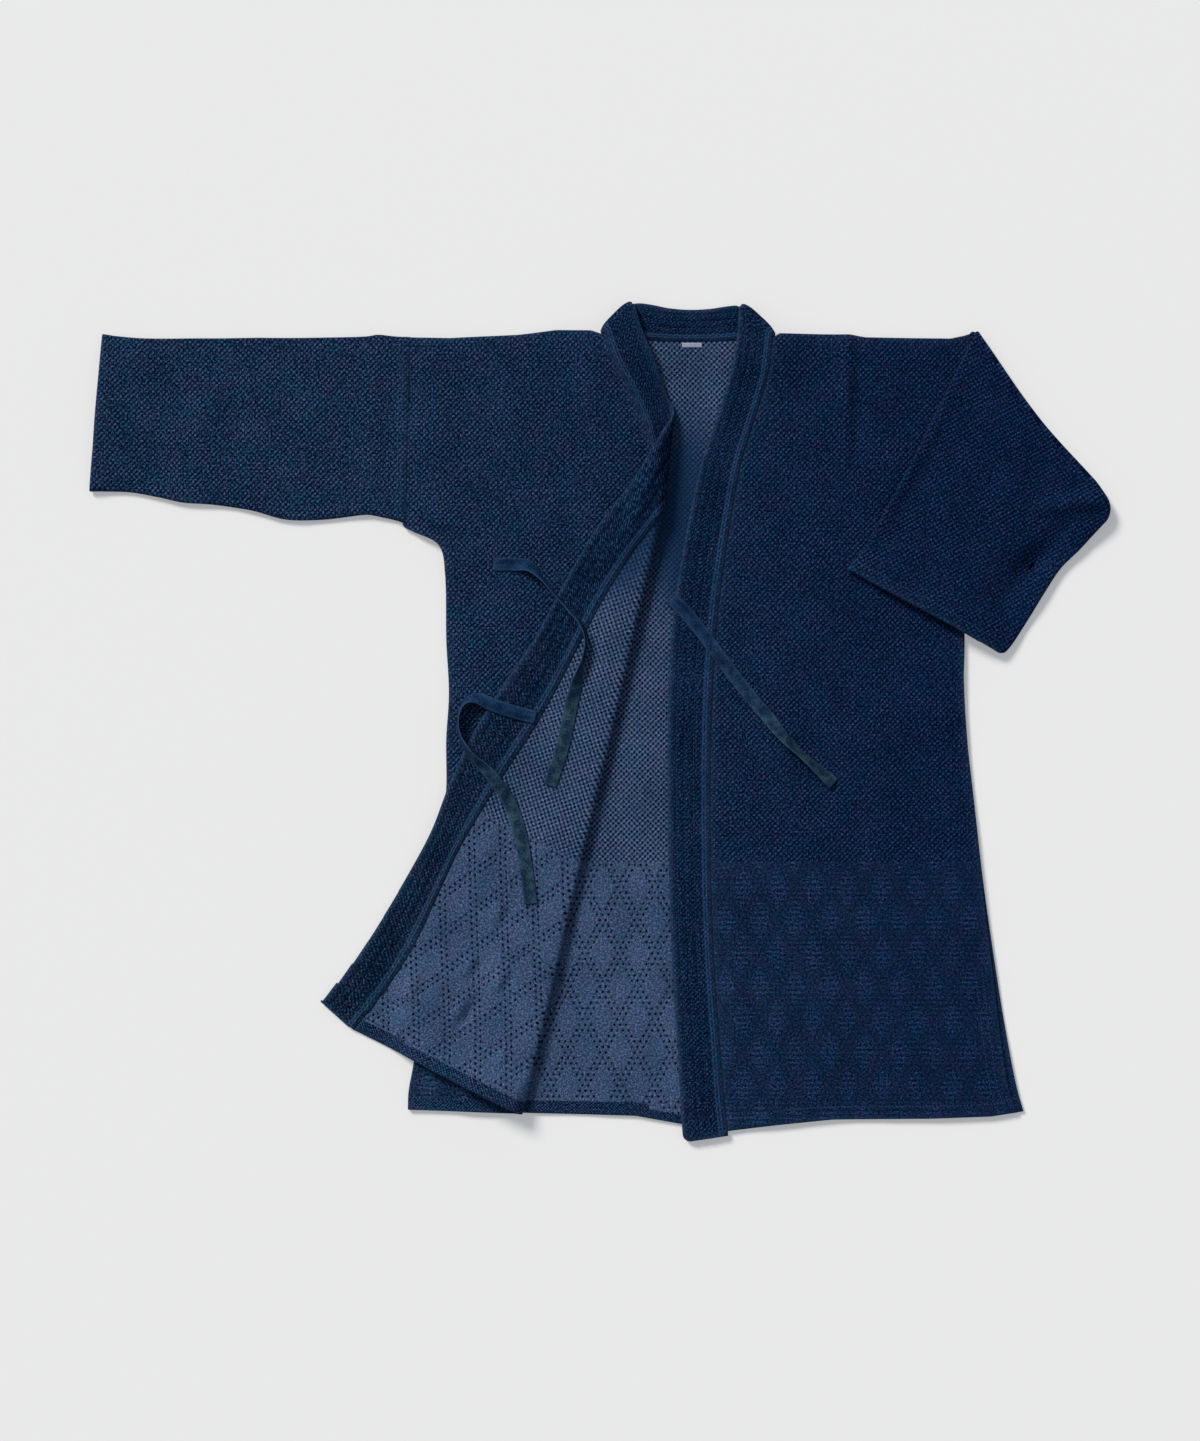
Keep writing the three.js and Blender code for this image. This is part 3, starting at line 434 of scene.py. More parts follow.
def from_crease(x, y):
    """Nearest point of the crease, the direction out of the body there, and the distance to it."""
    foot, direction, _ = nearest(CREASE, x, y, endless=True)
    out = np.stack([-direction[..., 1], direction[..., 0]], -1)
    distance = (x - foot[..., 0]) * out[..., 0] + (y - foot[..., 1]) * out[..., 1]
    return foot, out, distance


def flipped_rest(x, y):
    """What the turned-back front rests on: the front below it, then down to the surface."""
    heights = SIDES["left_y"][ARMPIT_ROW:][::-1]
    side = np.interp(y, heights, SIDES["left_x"][ARMPIT_ROW:][::-1])
    return FLIPPED_LEVEL * (1 - smooth((side - FALL_CLEAR - x) / FALL_WIDTH))


def turn_back(x, y, thickness, lift):
    """Place of a point of the right front's middle layer, from where it lies before turning back."""
    foot, out, distance = from_crease(x, y)
    low = FRONT_LEVEL + thickness / 2
    roll_lift = ROLL_LIFT + CREST["rise"] * np.exp(-(((foot[..., 1] - CREST["y"]) / CREST["width"]) ** 2))
    angle = (np.clip(distance / ROLL_REACH, -1, 1) + 1) / 2 * math.pi
    rolled = ROLL_REACH * (np.sin(angle) - 1)
    across = np.where(np.abs(distance) < ROLL_REACH, rolled, -np.abs(distance))
    place = foot + out * across[..., None]
    rest = flipped_rest(place[..., 0], place[..., 1]) + thickness / 2
    settled = smooth((distance - ROLL_REACH) / ROLL_SETTLE)
    height = mix(low + roll_lift * (1 - np.cos(angle)) + lift, rest, settled)
    return np.concatenate([place, height[..., None]], -1)


def ridges(rows, x, y):
    """Height of a table of soft ridges and troughs, each fading at its ends."""
    total = np.zeros(np.shape(x))
    t = np.linspace(0, 1, LINE_STEPS + 1)
    for x1, y1, x2, y2, x3, y3, width, height in zip(*rows.values()):
        line_x = (1 - t) ** 2 * x1 + 2 * t * (1 - t) * x2 + t**2 * x3
        line_y = (1 - t) ** 2 * y1 + 2 * t * (1 - t) * y2 + t**2 * y3
        reach = 3 * width
        close = (x > line_x.min() - reach) & (x < line_x.max() + reach)
        close &= (y > line_y.min() - reach) & (y < line_y.max() + reach)
        if not close.any():
            continue
        foot, _, share = nearest(np.stack([line_x, line_y], -1), x[close], y[close])
        apart = np.hypot(x[close] - foot[..., 0], y[close] - foot[..., 1])
        fade = np.sin(math.pi * np.clip(share, 0, 1)) ** 0.7
        total[close] += height * np.exp(-((apart / width) ** 2)) * fade
    return total


# Gentle unevenness that all layers share, from a few waves of set lengths and seeded directions
SWELL = {"height": 2.4, "waves": 12, "shortest": 58, "longest": 200, "full": 190, "spread": 2.2}
waves = np.random.default_rng(11)
WAVE_ANGLE = waves.uniform(0, 2 * math.pi, SWELL["waves"])
WAVE_PHASE = waves.uniform(0, 2 * math.pi, SWELL["waves"])
WAVE_LENGTH = np.geomspace(SWELL["shortest"], SWELL["longest"], SWELL["waves"])


def swell(x, y):
    total = np.zeros(np.shape(x))
    for angle, phase, length in zip(WAVE_ANGLE, WAVE_PHASE, WAVE_LENGTH):
        run = (x * math.cos(angle) + y * math.sin(angle)) * 2 * math.pi / length
        total += np.sin(run + phase) * (length / SWELL["full"]) ** 0.5
    return SWELL["height"] * (0.5 + 0.5 * np.tanh(total / SWELL["spread"]))


def settled_on(grid, folds=None):
    """The grid with the shared unevenness, and with its own ridges."""
    x, y = grid[..., 0], grid[..., 1]
    height = grid[..., 2] + swell(x, y)
    if folds is not None:
        height = height + ridges(folds, x, y)
    return np.concatenate([grid[..., :2], height[..., None]], -1)


def grid_normals(grid):
    """Unit directions out of a grid of points."""
    return unit(np.cross(np.gradient(grid, axis=1), np.gradient(grid, axis=0)))


def runs(grid):
    """Distance of each point along its column and along its row."""
    down = np.linalg.norm(np.diff(grid, axis=0), axis=-1)
    across = np.linalg.norm(np.diff(grid, axis=1), axis=-1)
    along_column = np.concatenate([np.zeros((1, grid.shape[1])), np.cumsum(down, axis=0)])
    along_row = np.concatenate([np.zeros((grid.shape[0], 1)), np.cumsum(across, axis=1)], axis=1)
    return along_column, along_row


def from_edge(grid):
    """Distance of each point of a grid to its nearest edge."""
    down, across = runs(grid)
    return np.minimum.reduce([down, down[-1] - down, across, across[:, -1:] - across])


def rounded(distance, half):
    """Share of the thickness that a rounded edge has at a distance from the edge."""
    inside = 1 - np.clip(distance / half, 0, 1)
    return np.maximum(THIN_EDGE, np.sqrt(1 - inside**2))


def to_frame(points):
    """Places of the tables, in the shared frame and in metres, and never under the surface."""
    placed = points * MM + SHIFT
    placed[..., 2] = np.maximum(placed[..., 2], 0)
    return placed


def make_mesh(name, points, faces, slots, materials, cloth=None, wear=None):
    """Object from points in the tables' millimetres, with cloth coordinates and wear for its materials."""
    mesh = bpy.data.meshes.new(name)
    mesh.from_pydata(to_frame(points), [], faces)
    for material in materials:
        mesh.materials.append(material)
    mesh.polygons.foreach_set("material_index", np.asarray(slots, dtype=np.int32))
    mesh.shade_smooth()
    if cloth is not None:
        corners = np.empty(len(mesh.loops), dtype=np.int32)
        mesh.loops.foreach_get("vertex_index", corners)
        layer = mesh.uv_layers.new(name="cloth")
        layer.uv.foreach_set("vector", (cloth[corners] * MM).ravel())
    if wear is not None:
        mesh.attributes.new("wear", "FLOAT", "POINT").data.foreach_set("value", wear)
    mesh.validate()
    piece = bpy.data.objects.new(name, mesh)
    bpy.context.collection.objects.link(piece)
    return piece


def quads(rows, columns, start=0, wrap=False):
    """Faces of a grid of points, its rows closed into rings where they wrap."""
    i = np.arange(rows - 1)[:, None]
    j = np.arange(columns if wrap else columns - 1)[None, :]
    after = (j + 1) % columns
    corners = [i * columns + j, i * columns + after, (i + 1) * columns + after, (i + 1) * columns + j]
    return np.stack([np.broadcast_to(c, (rows - 1, j.size)) for c in corners], -1).reshape(-1, 4) + start


def rim_order(rows, columns):
    """Numbers of the points round the edge of a grid, in order."""
    numbers = np.arange(rows * columns).reshape(rows, columns)
    return np.concatenate([numbers[0], numbers[1:, -1], numbers[-1, -2::-1], numbers[-2:0:-1, 0]])


def shell(name, grid, plus, minus, cloth, materials, plus_slots, minus_slots):
    """Closed sheet of cloth about a grid of middle points: plus is how far its face stands off on the
    side that the grid's normals point to, minus on the other, and the slots say which material each has."""
    rows, columns = grid.shape[:2]
    normals = grid_normals(grid)
    edge = from_edge(grid)
    round_off = rounded(edge, (np.mean(plus) + np.mean(minus)) / 2)
    middle = (plus - minus) / 2
    half = (plus + minus) / 2 * round_off
    plus_side = grid + normals * (middle + half)[..., None]
    minus_side = grid + normals * (middle - half)[..., None]
    points = np.concatenate([plus_side.reshape(-1, 3), minus_side.reshape(-1, 3)])
    count = rows * columns
    plus_faces = quads(rows, columns)
    minus_faces = quads(rows, columns, count)[:, ::-1]
    rim = rim_order(rows, columns)
    after = np.roll(rim, -1)
    rim_faces = np.stack([rim, rim + count, after + count, after], -1)
    parts = ((plus_slots, plus_faces), (minus_slots, minus_faces), (0, rim_faces))
    slots = [np.broadcast_to(slot, len(part)) for slot, part in parts]
    faces = np.concatenate([plus_faces, minus_faces, rim_faces])
    wear = np.exp(-edge / WEAR_REACH).ravel()
    both = np.concatenate([cloth.reshape(-1, 2)] * 2)
    return make_mesh(name, points, faces, np.concatenate(slots), materials, both, np.concatenate([wear] * 2))


def sewn_face(grid, offset, side):
    """Points on one side of a sheet and the directions out of it there, for what is sewn on."""
    normals = grid_normals(grid) * side
    return grid + normals * np.broadcast_to(offset, grid.shape[:2])[..., None], normals


def between(a_x, a_y, b_x, b_y, shares):
    """Rows of places between two edges."""
    share = shares if np.ndim(shares) == 2 else np.broadcast_to(shares, (len(a_x), len(shares)))
    return mix(a_x[:, None], b_x[:, None], share), mix(a_y[:, None], b_y[:, None], share)


def with_height(x, y, z):
    return np.stack([x, y, np.broadcast_to(z, x.shape)], -1)


def line_at(x, a, b):
    """Height at x of the straight line from a to b."""
    return mix(a[1], b[1], (x - a[0]) / (b[0] - a[0]))


def bend(x, edge, a, b, distance):
    """How far an edge's curve moves the points near it off the straight line from a to b."""
    return (np.interp(x, edge["x"], edge["y"]) - line_at(x, a, b)) * (1 - smooth(distance / EDGE_FADE))


def ends_bent(x, y, top, top_line, hem, hem_line):
    """Rows with their upper and lower ends bent to the curves of those edges."""
    from_top = np.maximum(line_at(x, *top_line) - y, 0)
    from_hem = np.maximum(y - line_at(x, *hem_line), 0)
    return y + bend(x, top, *top_line, from_top) + bend(x, hem, *hem_line, from_hem)


def ends(rows, first, second, row):
    """The two ends of one row of a table."""
    return (
        (rows[f"{first}_x"][row], rows[f"{first}_y"][row]),
        (rows[f"{second}_x"][row], rows[f"{second}_y"][row]),
    )


def strip_rise(distance, width, rise, ease=1.5):
    """A raised strip along an edge, which it rises from over that ease, with a groove beyond it."""
    body = smooth(distance / ease) - smooth((distance - width + 1) / 2)
    groove = np.exp(-(((distance - width - 0.8) / 1.1) ** 2))
    return rise * body - 0.5 * groove


def neck_rise(y):
    return NECK_LIFT["rise"] * smooth((y - NECK_LIFT["from"]) / (NECK_LIFT["to"] - NECK_LIFT["from"]))


def turned_share(distance):
    """Share that the turned-back layer's folds have, by the distance past the crease."""
    return smooth((distance - TURNED["from"]) / TURNED["over"])


def drawn_in(near_x, near_y, far_x, far_y, distance):
    """Far ends of rows, drawn in along each row by a distance."""
    cut = distance / np.hypot(near_x - far_x, near_y - far_y)
    return far_x + (near_x - far_x) * cut, far_y + (near_y - far_y) * cut


def cut_rows(near_x, near_y, far_x, far_y, shares, *corners):
    """Rows of places between two edges, with corners of the far one round: the row and radius of each."""
    for corner, radius in corners:
        distance = np.hypot(far_x - far_x[corner], far_y - far_y[corner])
        inside = 1 - np.clip(distance / radius, 0, 1)
        far_x, far_y = drawn_in(near_x, near_y, far_x, far_y, radius * (1 - np.sqrt(1 - inside**2)))
    return between(near_x, near_y, far_x, far_y, shares)


# Materials
def feed(tree, slot, value):
    """Set a node's input to a number or a colour, or link it to a field or an output."""
    if isinstance(value, Field):
        value = value.socket
    if isinstance(value, bpy.types.NodeSocket):
        tree.links.new(value, slot)
    elif isinstance(value, tuple):
        slot.default_value = (*value, 1)
    else:
        slot.default_value = value


class Field:
    """A number over a surface, held as a node's output, so that nodes are written as sums."""

    def __init__(self, tree, socket):
        self.tree = tree
        self.socket = socket

    def op(self, operation, *others):
        node = self.tree.nodes.new("ShaderNodeMath")
        node.operation = operation
        for slot, value in zip(node.inputs, (self, *others)):
            feed(self.tree, slot, value)
        return Field(self.tree, node.outputs[0])

    def __add__(self, other):
        return self.op("ADD", other)

    __radd__ = __add__

    def __sub__(self, other):
        return self.op("SUBTRACT", other)

    def __mul__(self, other):
        return self.op("MULTIPLY", other)

    def __truediv__(self, other):
        return self.op("DIVIDE", other)

    def reach(self, low, high):
        """Smooth rise from 0 at low to 1 at high."""
        node = self.tree.nodes.new("ShaderNodeMapRange")
        node.interpolation_type = "SMOOTHSTEP"
        ends = {"From Min": min(low, high), "From Max": max(low, high)}
        ends |= {"To Min": 0, "To Max": 1} if low < high else {"To Min": 1, "To Max": 0}
        for name, value in {"Value": self, **ends}.items():
            feed(self.tree, node.inputs[name], value)
        return Field(self.tree, node.outputs["Result"])


def parts_of(tree, vector):
    """The first two numbers of a vector."""
    node = tree.nodes.new("ShaderNodeSeparateXYZ")
    tree.links.new(vector, node.inputs["Vector"])
    return Field(tree, node.outputs["X"]), Field(tree, node.outputs["Y"])


def new_cloth(name):
    """Material, its nodes, and the cloth coordinates: as a vector, and in millimetres across and along."""
    material = bpy.data.materials.new(name)
    material.use_nodes = True
    tree = material.node_tree
    node = tree.nodes.new("ShaderNodeUVMap")
    node.uv_map = "cloth"
    u, v = parts_of(tree, node.outputs["UV"])
    return material, tree, node.outputs["UV"], u / MM, v / MM


def noise(tree, places, size, detail=2, roughness=0.5):
    """Soft noise with blobs of about that size in millimetres, from 0 to 1."""
    node = tree.nodes.new("ShaderNodeTexNoise")
    node.noise_dimensions = "2D"
    node.inputs["Scale"].default_value = 1 / (size * MM)
    node.inputs["Detail"].default_value = detail
    node.inputs["Roughness"].default_value = roughness
    tree.links.new(places, node.inputs["Vector"])
    return Field(tree, node.outputs["Fac"])


def yarns(tree, places):
    """Strong fine noise of the cotton's fibres, about 0."""
    return noise(tree, places, 2.3, detail=4, roughness=0.85).reach(0.3, 0.7) - 0.5


def cell_chance(first, second):
    """A chance number from 0 to 1 for each cell of a lattice."""
    tree = first.tree
    join = tree.nodes.new("ShaderNodeCombineXYZ")
    tree.links.new(first.op("ROUND").socket, join.inputs["X"])
    tree.links.new(second.op("ROUND").socket, join.inputs["Y"])
    node = tree.nodes.new("ShaderNodeTexWhiteNoise")
    node.noise_dimensions = "2D"
    tree.links.new(join.outputs["Vector"], node.inputs["Vector"])
    return Field(tree, node.outputs["Value"])


def lattice(u, v, width, height):
    """Two slanting counts whose whole numbers are the points of a staggered lattice."""
    return u / width + v / height, u / width - v / height


def off_centre(count):
    """Distance of a count from its nearest whole number, with its sign."""
    return count - count.op("ROUND")


def spots(first, second, pitch, long_half, short_half, slant):
    """Soft oval spots at a lattice's points, 1 in the middle, their long way at a slant in degrees.
    The pitch and the half sizes are in millimetres."""
    a = off_centre(first)
    b = off_centre(second)
    across = (a + b) * (pitch[0] / 2)
    up = (a - b) * (pitch[1] / 2)
    turn = math.radians(slant)
    long_way = (across * math.cos(turn) + up * math.sin(turn)) / long_half
    short_way = (up * math.cos(turn) - across * math.sin(turn)) / short_half
    return (long_way * long_way + short_way * short_way).reach(1.35, 0.15)


def mixed(tree, factor, low, high, blend="MIX"):
    """Colour between two colours or outputs of colour, or the first with the second blended in."""
    node = tree.nodes.new("ShaderNodeMix")
    node.data_type = "RGBA"
    node.blend_type = blend
    for number, value in ((0, factor), (6, low), (7, high)):
        feed(tree, node.inputs[number], value)
    return node.outputs[2]


def finish_cloth(material, colour, height, depth):
    """Matt cloth with a colour, and a relief of that depth in millimetres."""
    tree = material.node_tree
    shader = tree.nodes["Principled BSDF"]
    tree.links.new(colour, shader.inputs["Base Color"])
    shader.inputs["Roughness"].default_value = 0.95
    shader.inputs["Specular IOR Level"].default_value = 0.02
    bump = tree.nodes.new("ShaderNodeBump")
    bump.inputs["Distance"].default_value = depth * MM
    bump.inputs["Strength"].default_value = 1
    tree.links.new(height.socket, bump.inputs["Height"])
    tree.links.new(bump.outputs["Normal"], shader.inputs["Normal"])
    return material


# Pitches of the weave in millimetres, and where the skirt's diamond weave begins
GRAIN = (5.95, 6.15)
HEM_GRAIN = (3.7, 3.5)
BAND_GRAIN = (5.6, 5.4)
DIAMOND = {"width": 39, "height": 74, "top": -157, "holes": 6}
HOLE_PITCH = (DIAMOND["width"] / DIAMOND["holes"], DIAMOND["height"] / DIAMOND["holes"])
RIB_PITCH = 5.6
TAPE_PITCH = 1.5

# Colours of the dyed cotton, and of light and shade painted on it
INDIGO_DARK = (0.0001, 0.0022, 0.013)
INDIGO_DEEP = (0.018, 0.05, 0.15)
# Painted light: the threads' paler colour on the lit side, towards the right sleeve
INDIGO_PAINTED_LIT = (0.052, 0.116, 0.245)
# Painted highlight: grey glints on the brightest threads
INDIGO_GLINT = (0.085, 0.125, 0.2)
INDIGO_OUTLINE = (0.006, 0.014, 0.04)
INDIGO_WORN = (0.04, 0.078, 0.16)
SLATE_HOLE = (0.0003, 0.004, 0.019)
SLATE = (0.012, 0.034, 0.084)
SLATE_LIGHT = (0.162, 0.235, 0.423)
# Painted shade: the inner face's colour where the bands shade it
SLATE_SHADED = (0.005, 0.03, 0.088)
BAND_DARK = (0.0002, 0.003, 0.015)
BAND_DEEP = (0.02, 0.066, 0.178)
# Painted light: the band's paler thread colour on the lit side
BAND_PAINTED_LIT = (0.046, 0.106, 0.228)
BAND_UNDER_DEEP = (0.0132, 0.0667, 0.218)
# Painted light: the band's underside, paler on the lit side
BAND_UNDER_PAINTED_LIT = (0.0506, 0.103, 0.184)
TIE_DARK = (0.001, 0.009, 0.028)
TIE_LIGHT = (0.02, 0.052, 0.105)
TIE_GREEN = (0.033, 0.07, 0.088)
TIE_SEWN = (0.014, 0.042, 0.105)
LABEL_GREY = (0.24, 0.27, 0.36)
THREAD = (0.03, 0.065, 0.14)
TINT_TEAL = (0.62, 1.03, 0.99)
TINT_VIOLET = (1.3, 0.96, 1.02)

# Painted shade on the inner face, in an oval between the two bands where they shade it
NECK_SHADE = {"x": 98, "y": 225, "half_width": 64, "half_height": 150, "share": 0.85}


def wear_of(tree):
    node = tree.nodes.new("ShaderNodeAttribute")
    node.attribute_name = "wear"
    return Field(tree, node.outputs["Fac"])


def uneven_dye(tree, places, colour, share):
    """The colour turned by that share to teal in some patches and to violet in others."""
    patches = noise(tree, places, 26) * 0.45 + noise(tree, places, 5, detail=3, roughness=0.7) * 0.55
    tint = mixed(tree, patches.reach(0.4, 0.6), TINT_TEAL, TINT_VIOLET)
    return mixed(tree, share, colour, tint, "MULTIPLY")


def worn_and_dyed(tree, places, base, size, share):
    """The colour with its edges worn pale, in patches of that size, and dyed unevenly."""
    worn = wear_of(tree) * noise(tree, places, size) * share
    return uneven_dye(tree, places, mixed(tree, worn, base, INDIGO_WORN), 1)


def painted_side_light(tree, deep, pale):
    """The lighter threads' colour with painted light: paler towards the right sleeve, on the side the light
    comes from.
    """
    node = tree.nodes.new("ShaderNodeTexCoord")
    x, _ = parts_of(tree, node.outputs["Object"])
    return mixed(tree, x.reach(0.5, -0.4), deep, pale)


def diamond_parts(u, v):
    """The skirt's diamond weave: the distance from its outlines as a share of a diamond, the outlines,
    the skirt, and the lattice of holes along the outlines."""
    counts = lattice(u, v, DIAMOND["width"], DIAMOND["height"])
    half_row = 0.5 / DIAMOND["holes"]
    to_first, to_second = (off_centre(count - half_row).op("ABSOLUTE") for count in counts)
    edge = to_first.op("MINIMUM", to_second)
    outline = edge.reach(0.85 / DIAMOND["holes"], 0.65 / DIAMOND["holes"])
    skirt = v.reach(DIAMOND["top"] + 0.5, DIAMOND["top"] - 0.5)
    return edge, outline, skirt, [count * DIAMOND["holes"] for count in counts]


def woven_outer(name, pitch, skirt_too):
    """Outer face: light rice grains on dark indigo, and where wanted ribbed diamonds in the skirt."""
    material, tree, places, u, v = new_cloth(name)
    cells = lattice(u, v, *pitch)
    pattern = spots(*cells, pitch, 0.33 * pitch[0], 0.25 * pitch[0], 48) * (cell_chance(*cells) * 0.5 + 0.55)
    if skirt_too:
        edge, outline, skirt, holes = diamond_parts(u, v)
        broad = edge.reach(0.26, 0.1)
        wavy = v + noise(tree, places, 26) * 4
        ribs = (wavy * (2 * math.pi / RIB_PITCH)).op("SINE").reach(-0.7, 1)
        threaded = spots(*holes, HOLE_PITCH, 1.7, 1.4, 40) * outline
        specks = noise(tree, places, 1.7, detail=3, roughness=0.8).reach(0.3, 0.7)
        skirt_pattern = ribs * (broad * -0.36 + 0.42) + threaded * 0.42 + specks * 0.74
        pattern = pattern + (skirt_pattern - pattern) * skirt
    threads = yarns(tree, places)
    patches = noise(tree, places, 46, detail=4)
    light = pattern * 0.7 + threads * 1.25 + (patches - 0.5) * 0.26 + 0.06
    # The lighter threads carry painted light, paler towards the right sleeve
    base = mixed(tree, light.reach(-0.1, 1.2), INDIGO_DARK, painted_side_light(tree, INDIGO_DEEP, INDIGO_PAINTED_LIT))
    # Painted highlight: grey glints on the brightest threads
    base = mixed(tree, light.reach(0.95, 1.55) * 0.55, base, INDIGO_GLINT)
    if skirt_too:
        base = mixed(tree, broad * skirt * 0.32, base, INDIGO_OUTLINE)
    return finish_cloth(material, worn_and_dyed(tree, places, base, 9, 0.55), pattern + threads * 0.6, 0.6)


def woven_inner():
    """Inner face: slate blue with rows of small dark holes, in diamonds in the skirt, and a painted shade
    between the bands.
    """
    material, tree, places, u, v = new_cloth("indigo_inner")
    cells = lattice(u, v, *GRAIN)
    holes = spots(*cells, GRAIN, 1.75, 1.35, 60) * (cell_chance(*cells) * 0.35 + 0.72)
    _, outline, skirt, counts = diamond_parts(u, v)
    skirt_holes = spots(*counts, HOLE_PITCH, 1.95, 1.5, 60) * outline * (cell_chance(*counts) * 0.35 + 0.8)
    dark = holes + (skirt_holes - holes) * skirt
    specks = spots(*(count + 0.5 for count in cells), GRAIN, 1.5, 1.1, 30) * (skirt * -1 + 1)
    threads = yarns(tree, places)
    patches = noise(tree, places, 60, detail=3)
    light = specks * 0.4 + threads + (patches - 0.5) * 0.4 + skirt * 0.06 + 0.17
    ground = mixed(tree, light.reach(-0.3, 1.15), SLATE, SLATE_LIGHT)
    colour = uneven_dye(tree, places, mixed(tree, dark, ground, SLATE_HOLE), 0.42)
    # Painted shade: darker in an oval between the two bands
    across = (u - NECK_SHADE["x"]) / NECK_SHADE["half_width"]
    up = (v - NECK_SHADE["y"]) / NECK_SHADE["half_height"]
    shaded = (across * across + up * up).reach(1, 0) * NECK_SHADE["share"]
    pillows = (outline * skirt * -1 + 1) * 0.6
    colour = mixed(tree, shaded, colour, SLATE_SHADED)
    return finish_cloth(material, colour, threads * 0.8 - dark + pillows, 0.8)


def woven_band(name, deep, pale):
    """The band's cloth: fine slanting grains on dark indigo, darker in the rows of stitching."""
    material, tree, places, u, v = new_cloth(name)
    cells = lattice(u, v, *BAND_GRAIN)
    ribs = spots(*cells, BAND_GRAIN, 2.0, 1.3, 48) * (cell_chance(*cells) * 0.6 + 0.5)
    threads = yarns(tree, places)
    patches = noise(tree, places, 45, detail=3)
    light = ribs * 0.55 + threads * 1.35 + (patches - 0.5) * 0.4 - 0.07
    sewn = off_centre(u / (BAND_WIDTH / QUILT["channels"])).op("ABSOLUTE").reach(0.02, 0.14)
    tone = light.reach(-0.1, 1.2) * (sewn * 0.45 + 0.5)
    # Painted highlight: lighter lines along the piping ridges
    for share in PIPING["shares"]:
        tone = tone + (u - share * BAND_WIDTH).op("ABSOLUTE").reach(1.5, 0.3) * 0.34
    tone = tone * (u.reach(0.3, 2.6) * 0.75 + 0.25)
    # The lighter threads carry painted light, paler towards the right sleeve
    base = mixed(tree, tone, BAND_DARK, painted_side_light(tree, deep, pale))
    # Painted highlight: grey glints on the brightest threads, away from the rows of stitching
    base = mixed(tree, light.reach(0.95, 1.6) * sewn * 0.4, base, INDIGO_GLINT)
    return finish_cloth(material, worn_and_dyed(tree, places, base, 8, 0.8), ribs * 0.6 + threads * 0.6, 0.45)


def woven_tape():
    """Plain-woven blue strap, darker where it is sewn on and greener towards its end."""
    material, tree, places, u, v = new_cloth("tie_blue")
    warp, weft = ((count * (2 * math.pi / TAPE_PITCH)).op("SINE") for count in (u, v))
    check = (warp * weft).reach(-1, 1)
    threads = yarns(tree, places)
    patches = noise(tree, places, 12, detail=3)
    light = check * 0.25 + threads * 0.75 + (patches - 0.5) * 1.5 + 0.3
    sewn_end = mixed(tree, v.reach(50, 110), TIE_SEWN, TIE_LIGHT)
    tone = mixed(tree, v.reach(120, 220) * (patches.reach(0.3, 0.6) * 0.5 + 0.5), sewn_end, TIE_GREEN)
    base = mixed(tree, light.reach(-0.1, 1.1), TIE_DARK, tone)
    colour = mixed(tree, wear_of(tree) * 0.45, base, INDIGO_WORN)
    return finish_cloth(material, colour, check * 0.5 + threads * 0.5, 0.2)


def plain(name, tone, size):
    """Simple thread or tape colour with a little unevenness."""
    material = bpy.data.materials.new(name)
    material.use_nodes = True
    tree = material.node_tree
    node = tree.nodes.new("ShaderNodeTexCoord")
    speckle = noise(tree, node.outputs["Object"], size)
    low, high = (tuple(c * share for c in tone) for share in (0.7, 1.4))
    return finish_cloth(material, mixed(tree, speckle, low, high), speckle, 0.1)


OUTER = woven_outer("indigo_outer", GRAIN, True)
HEMMED = woven_outer("indigo_hem", HEM_GRAIN, False)
INNER = woven_inner()
BANDED = woven_band("indigo_band", BAND_DEEP, BAND_PAINTED_LIT)
BANDED_UNDER = woven_band("indigo_band_under", BAND_UNDER_DEEP, BAND_UNDER_PAINTED_LIT)
TAPE = woven_tape()
LABEL = plain("label_grey", LABEL_GREY, 1.2)
STITCH = plain("navy_thread", THREAD, 2)


# Pieces of the body
def back_panel():
    """The back: outer face on the surface, inner face up, with its hem turned up."""
    side = spaced(SIDES, "left_x", "left_y", BACK_STEP)
    width = SIDES["right_x"][0] - SIDES["left_x"][0]
    shares = even_places(width, BACK_STEP) / width
    x, y = between(side["left_x"], side["left_y"], side["right_x"], side["right_y"], shares)
    top_line, hem_line = (ends(SIDES, "left", "right", number) for number in (0, -1))
    y = ends_bent(x, y, BACK_TOP, top_line, HEM, hem_line)
    level = with_height(x, y, CLOTH / 2)
    down, _ = runs(level)
    from_hem = down[-1] - down
    grid = settled_on(level, BACK_FOLDS)
    inner = CLOTH / 2 + strip_rise(from_hem, TURNED_HEM["width"], TURNED_HEM["rise"])
    from_slit = side["right_x"][:, None] - x + SLIT["height"] * (from_hem > SLIT["height"])
    in_hem = (np.minimum(from_hem, from_slit)[:-1, :-1] < TURNED_HEM["width"]).ravel()
    outer = np.full(x.shape, CLOTH / 2)
    cloth = np.stack([x, y], -1)
    piece = shell("back_cloth", grid, outer, inner, cloth, (OUTER, INNER, HEMMED), 0, np.where(in_hem, 2, 1))
    return piece, sewn_face(grid, inner, -1), from_hem


def right_rows(step):
    """Rows across the right band: the row number of its seam, the seam and the free edge."""
    free = spaced(RIGHT_BAND, "x", "y", step)
    number = np.clip(free["row"], 0, len(RIGHT_SEAM["x"]) - 1)
    return number, along(RIGHT_SEAM, number), free


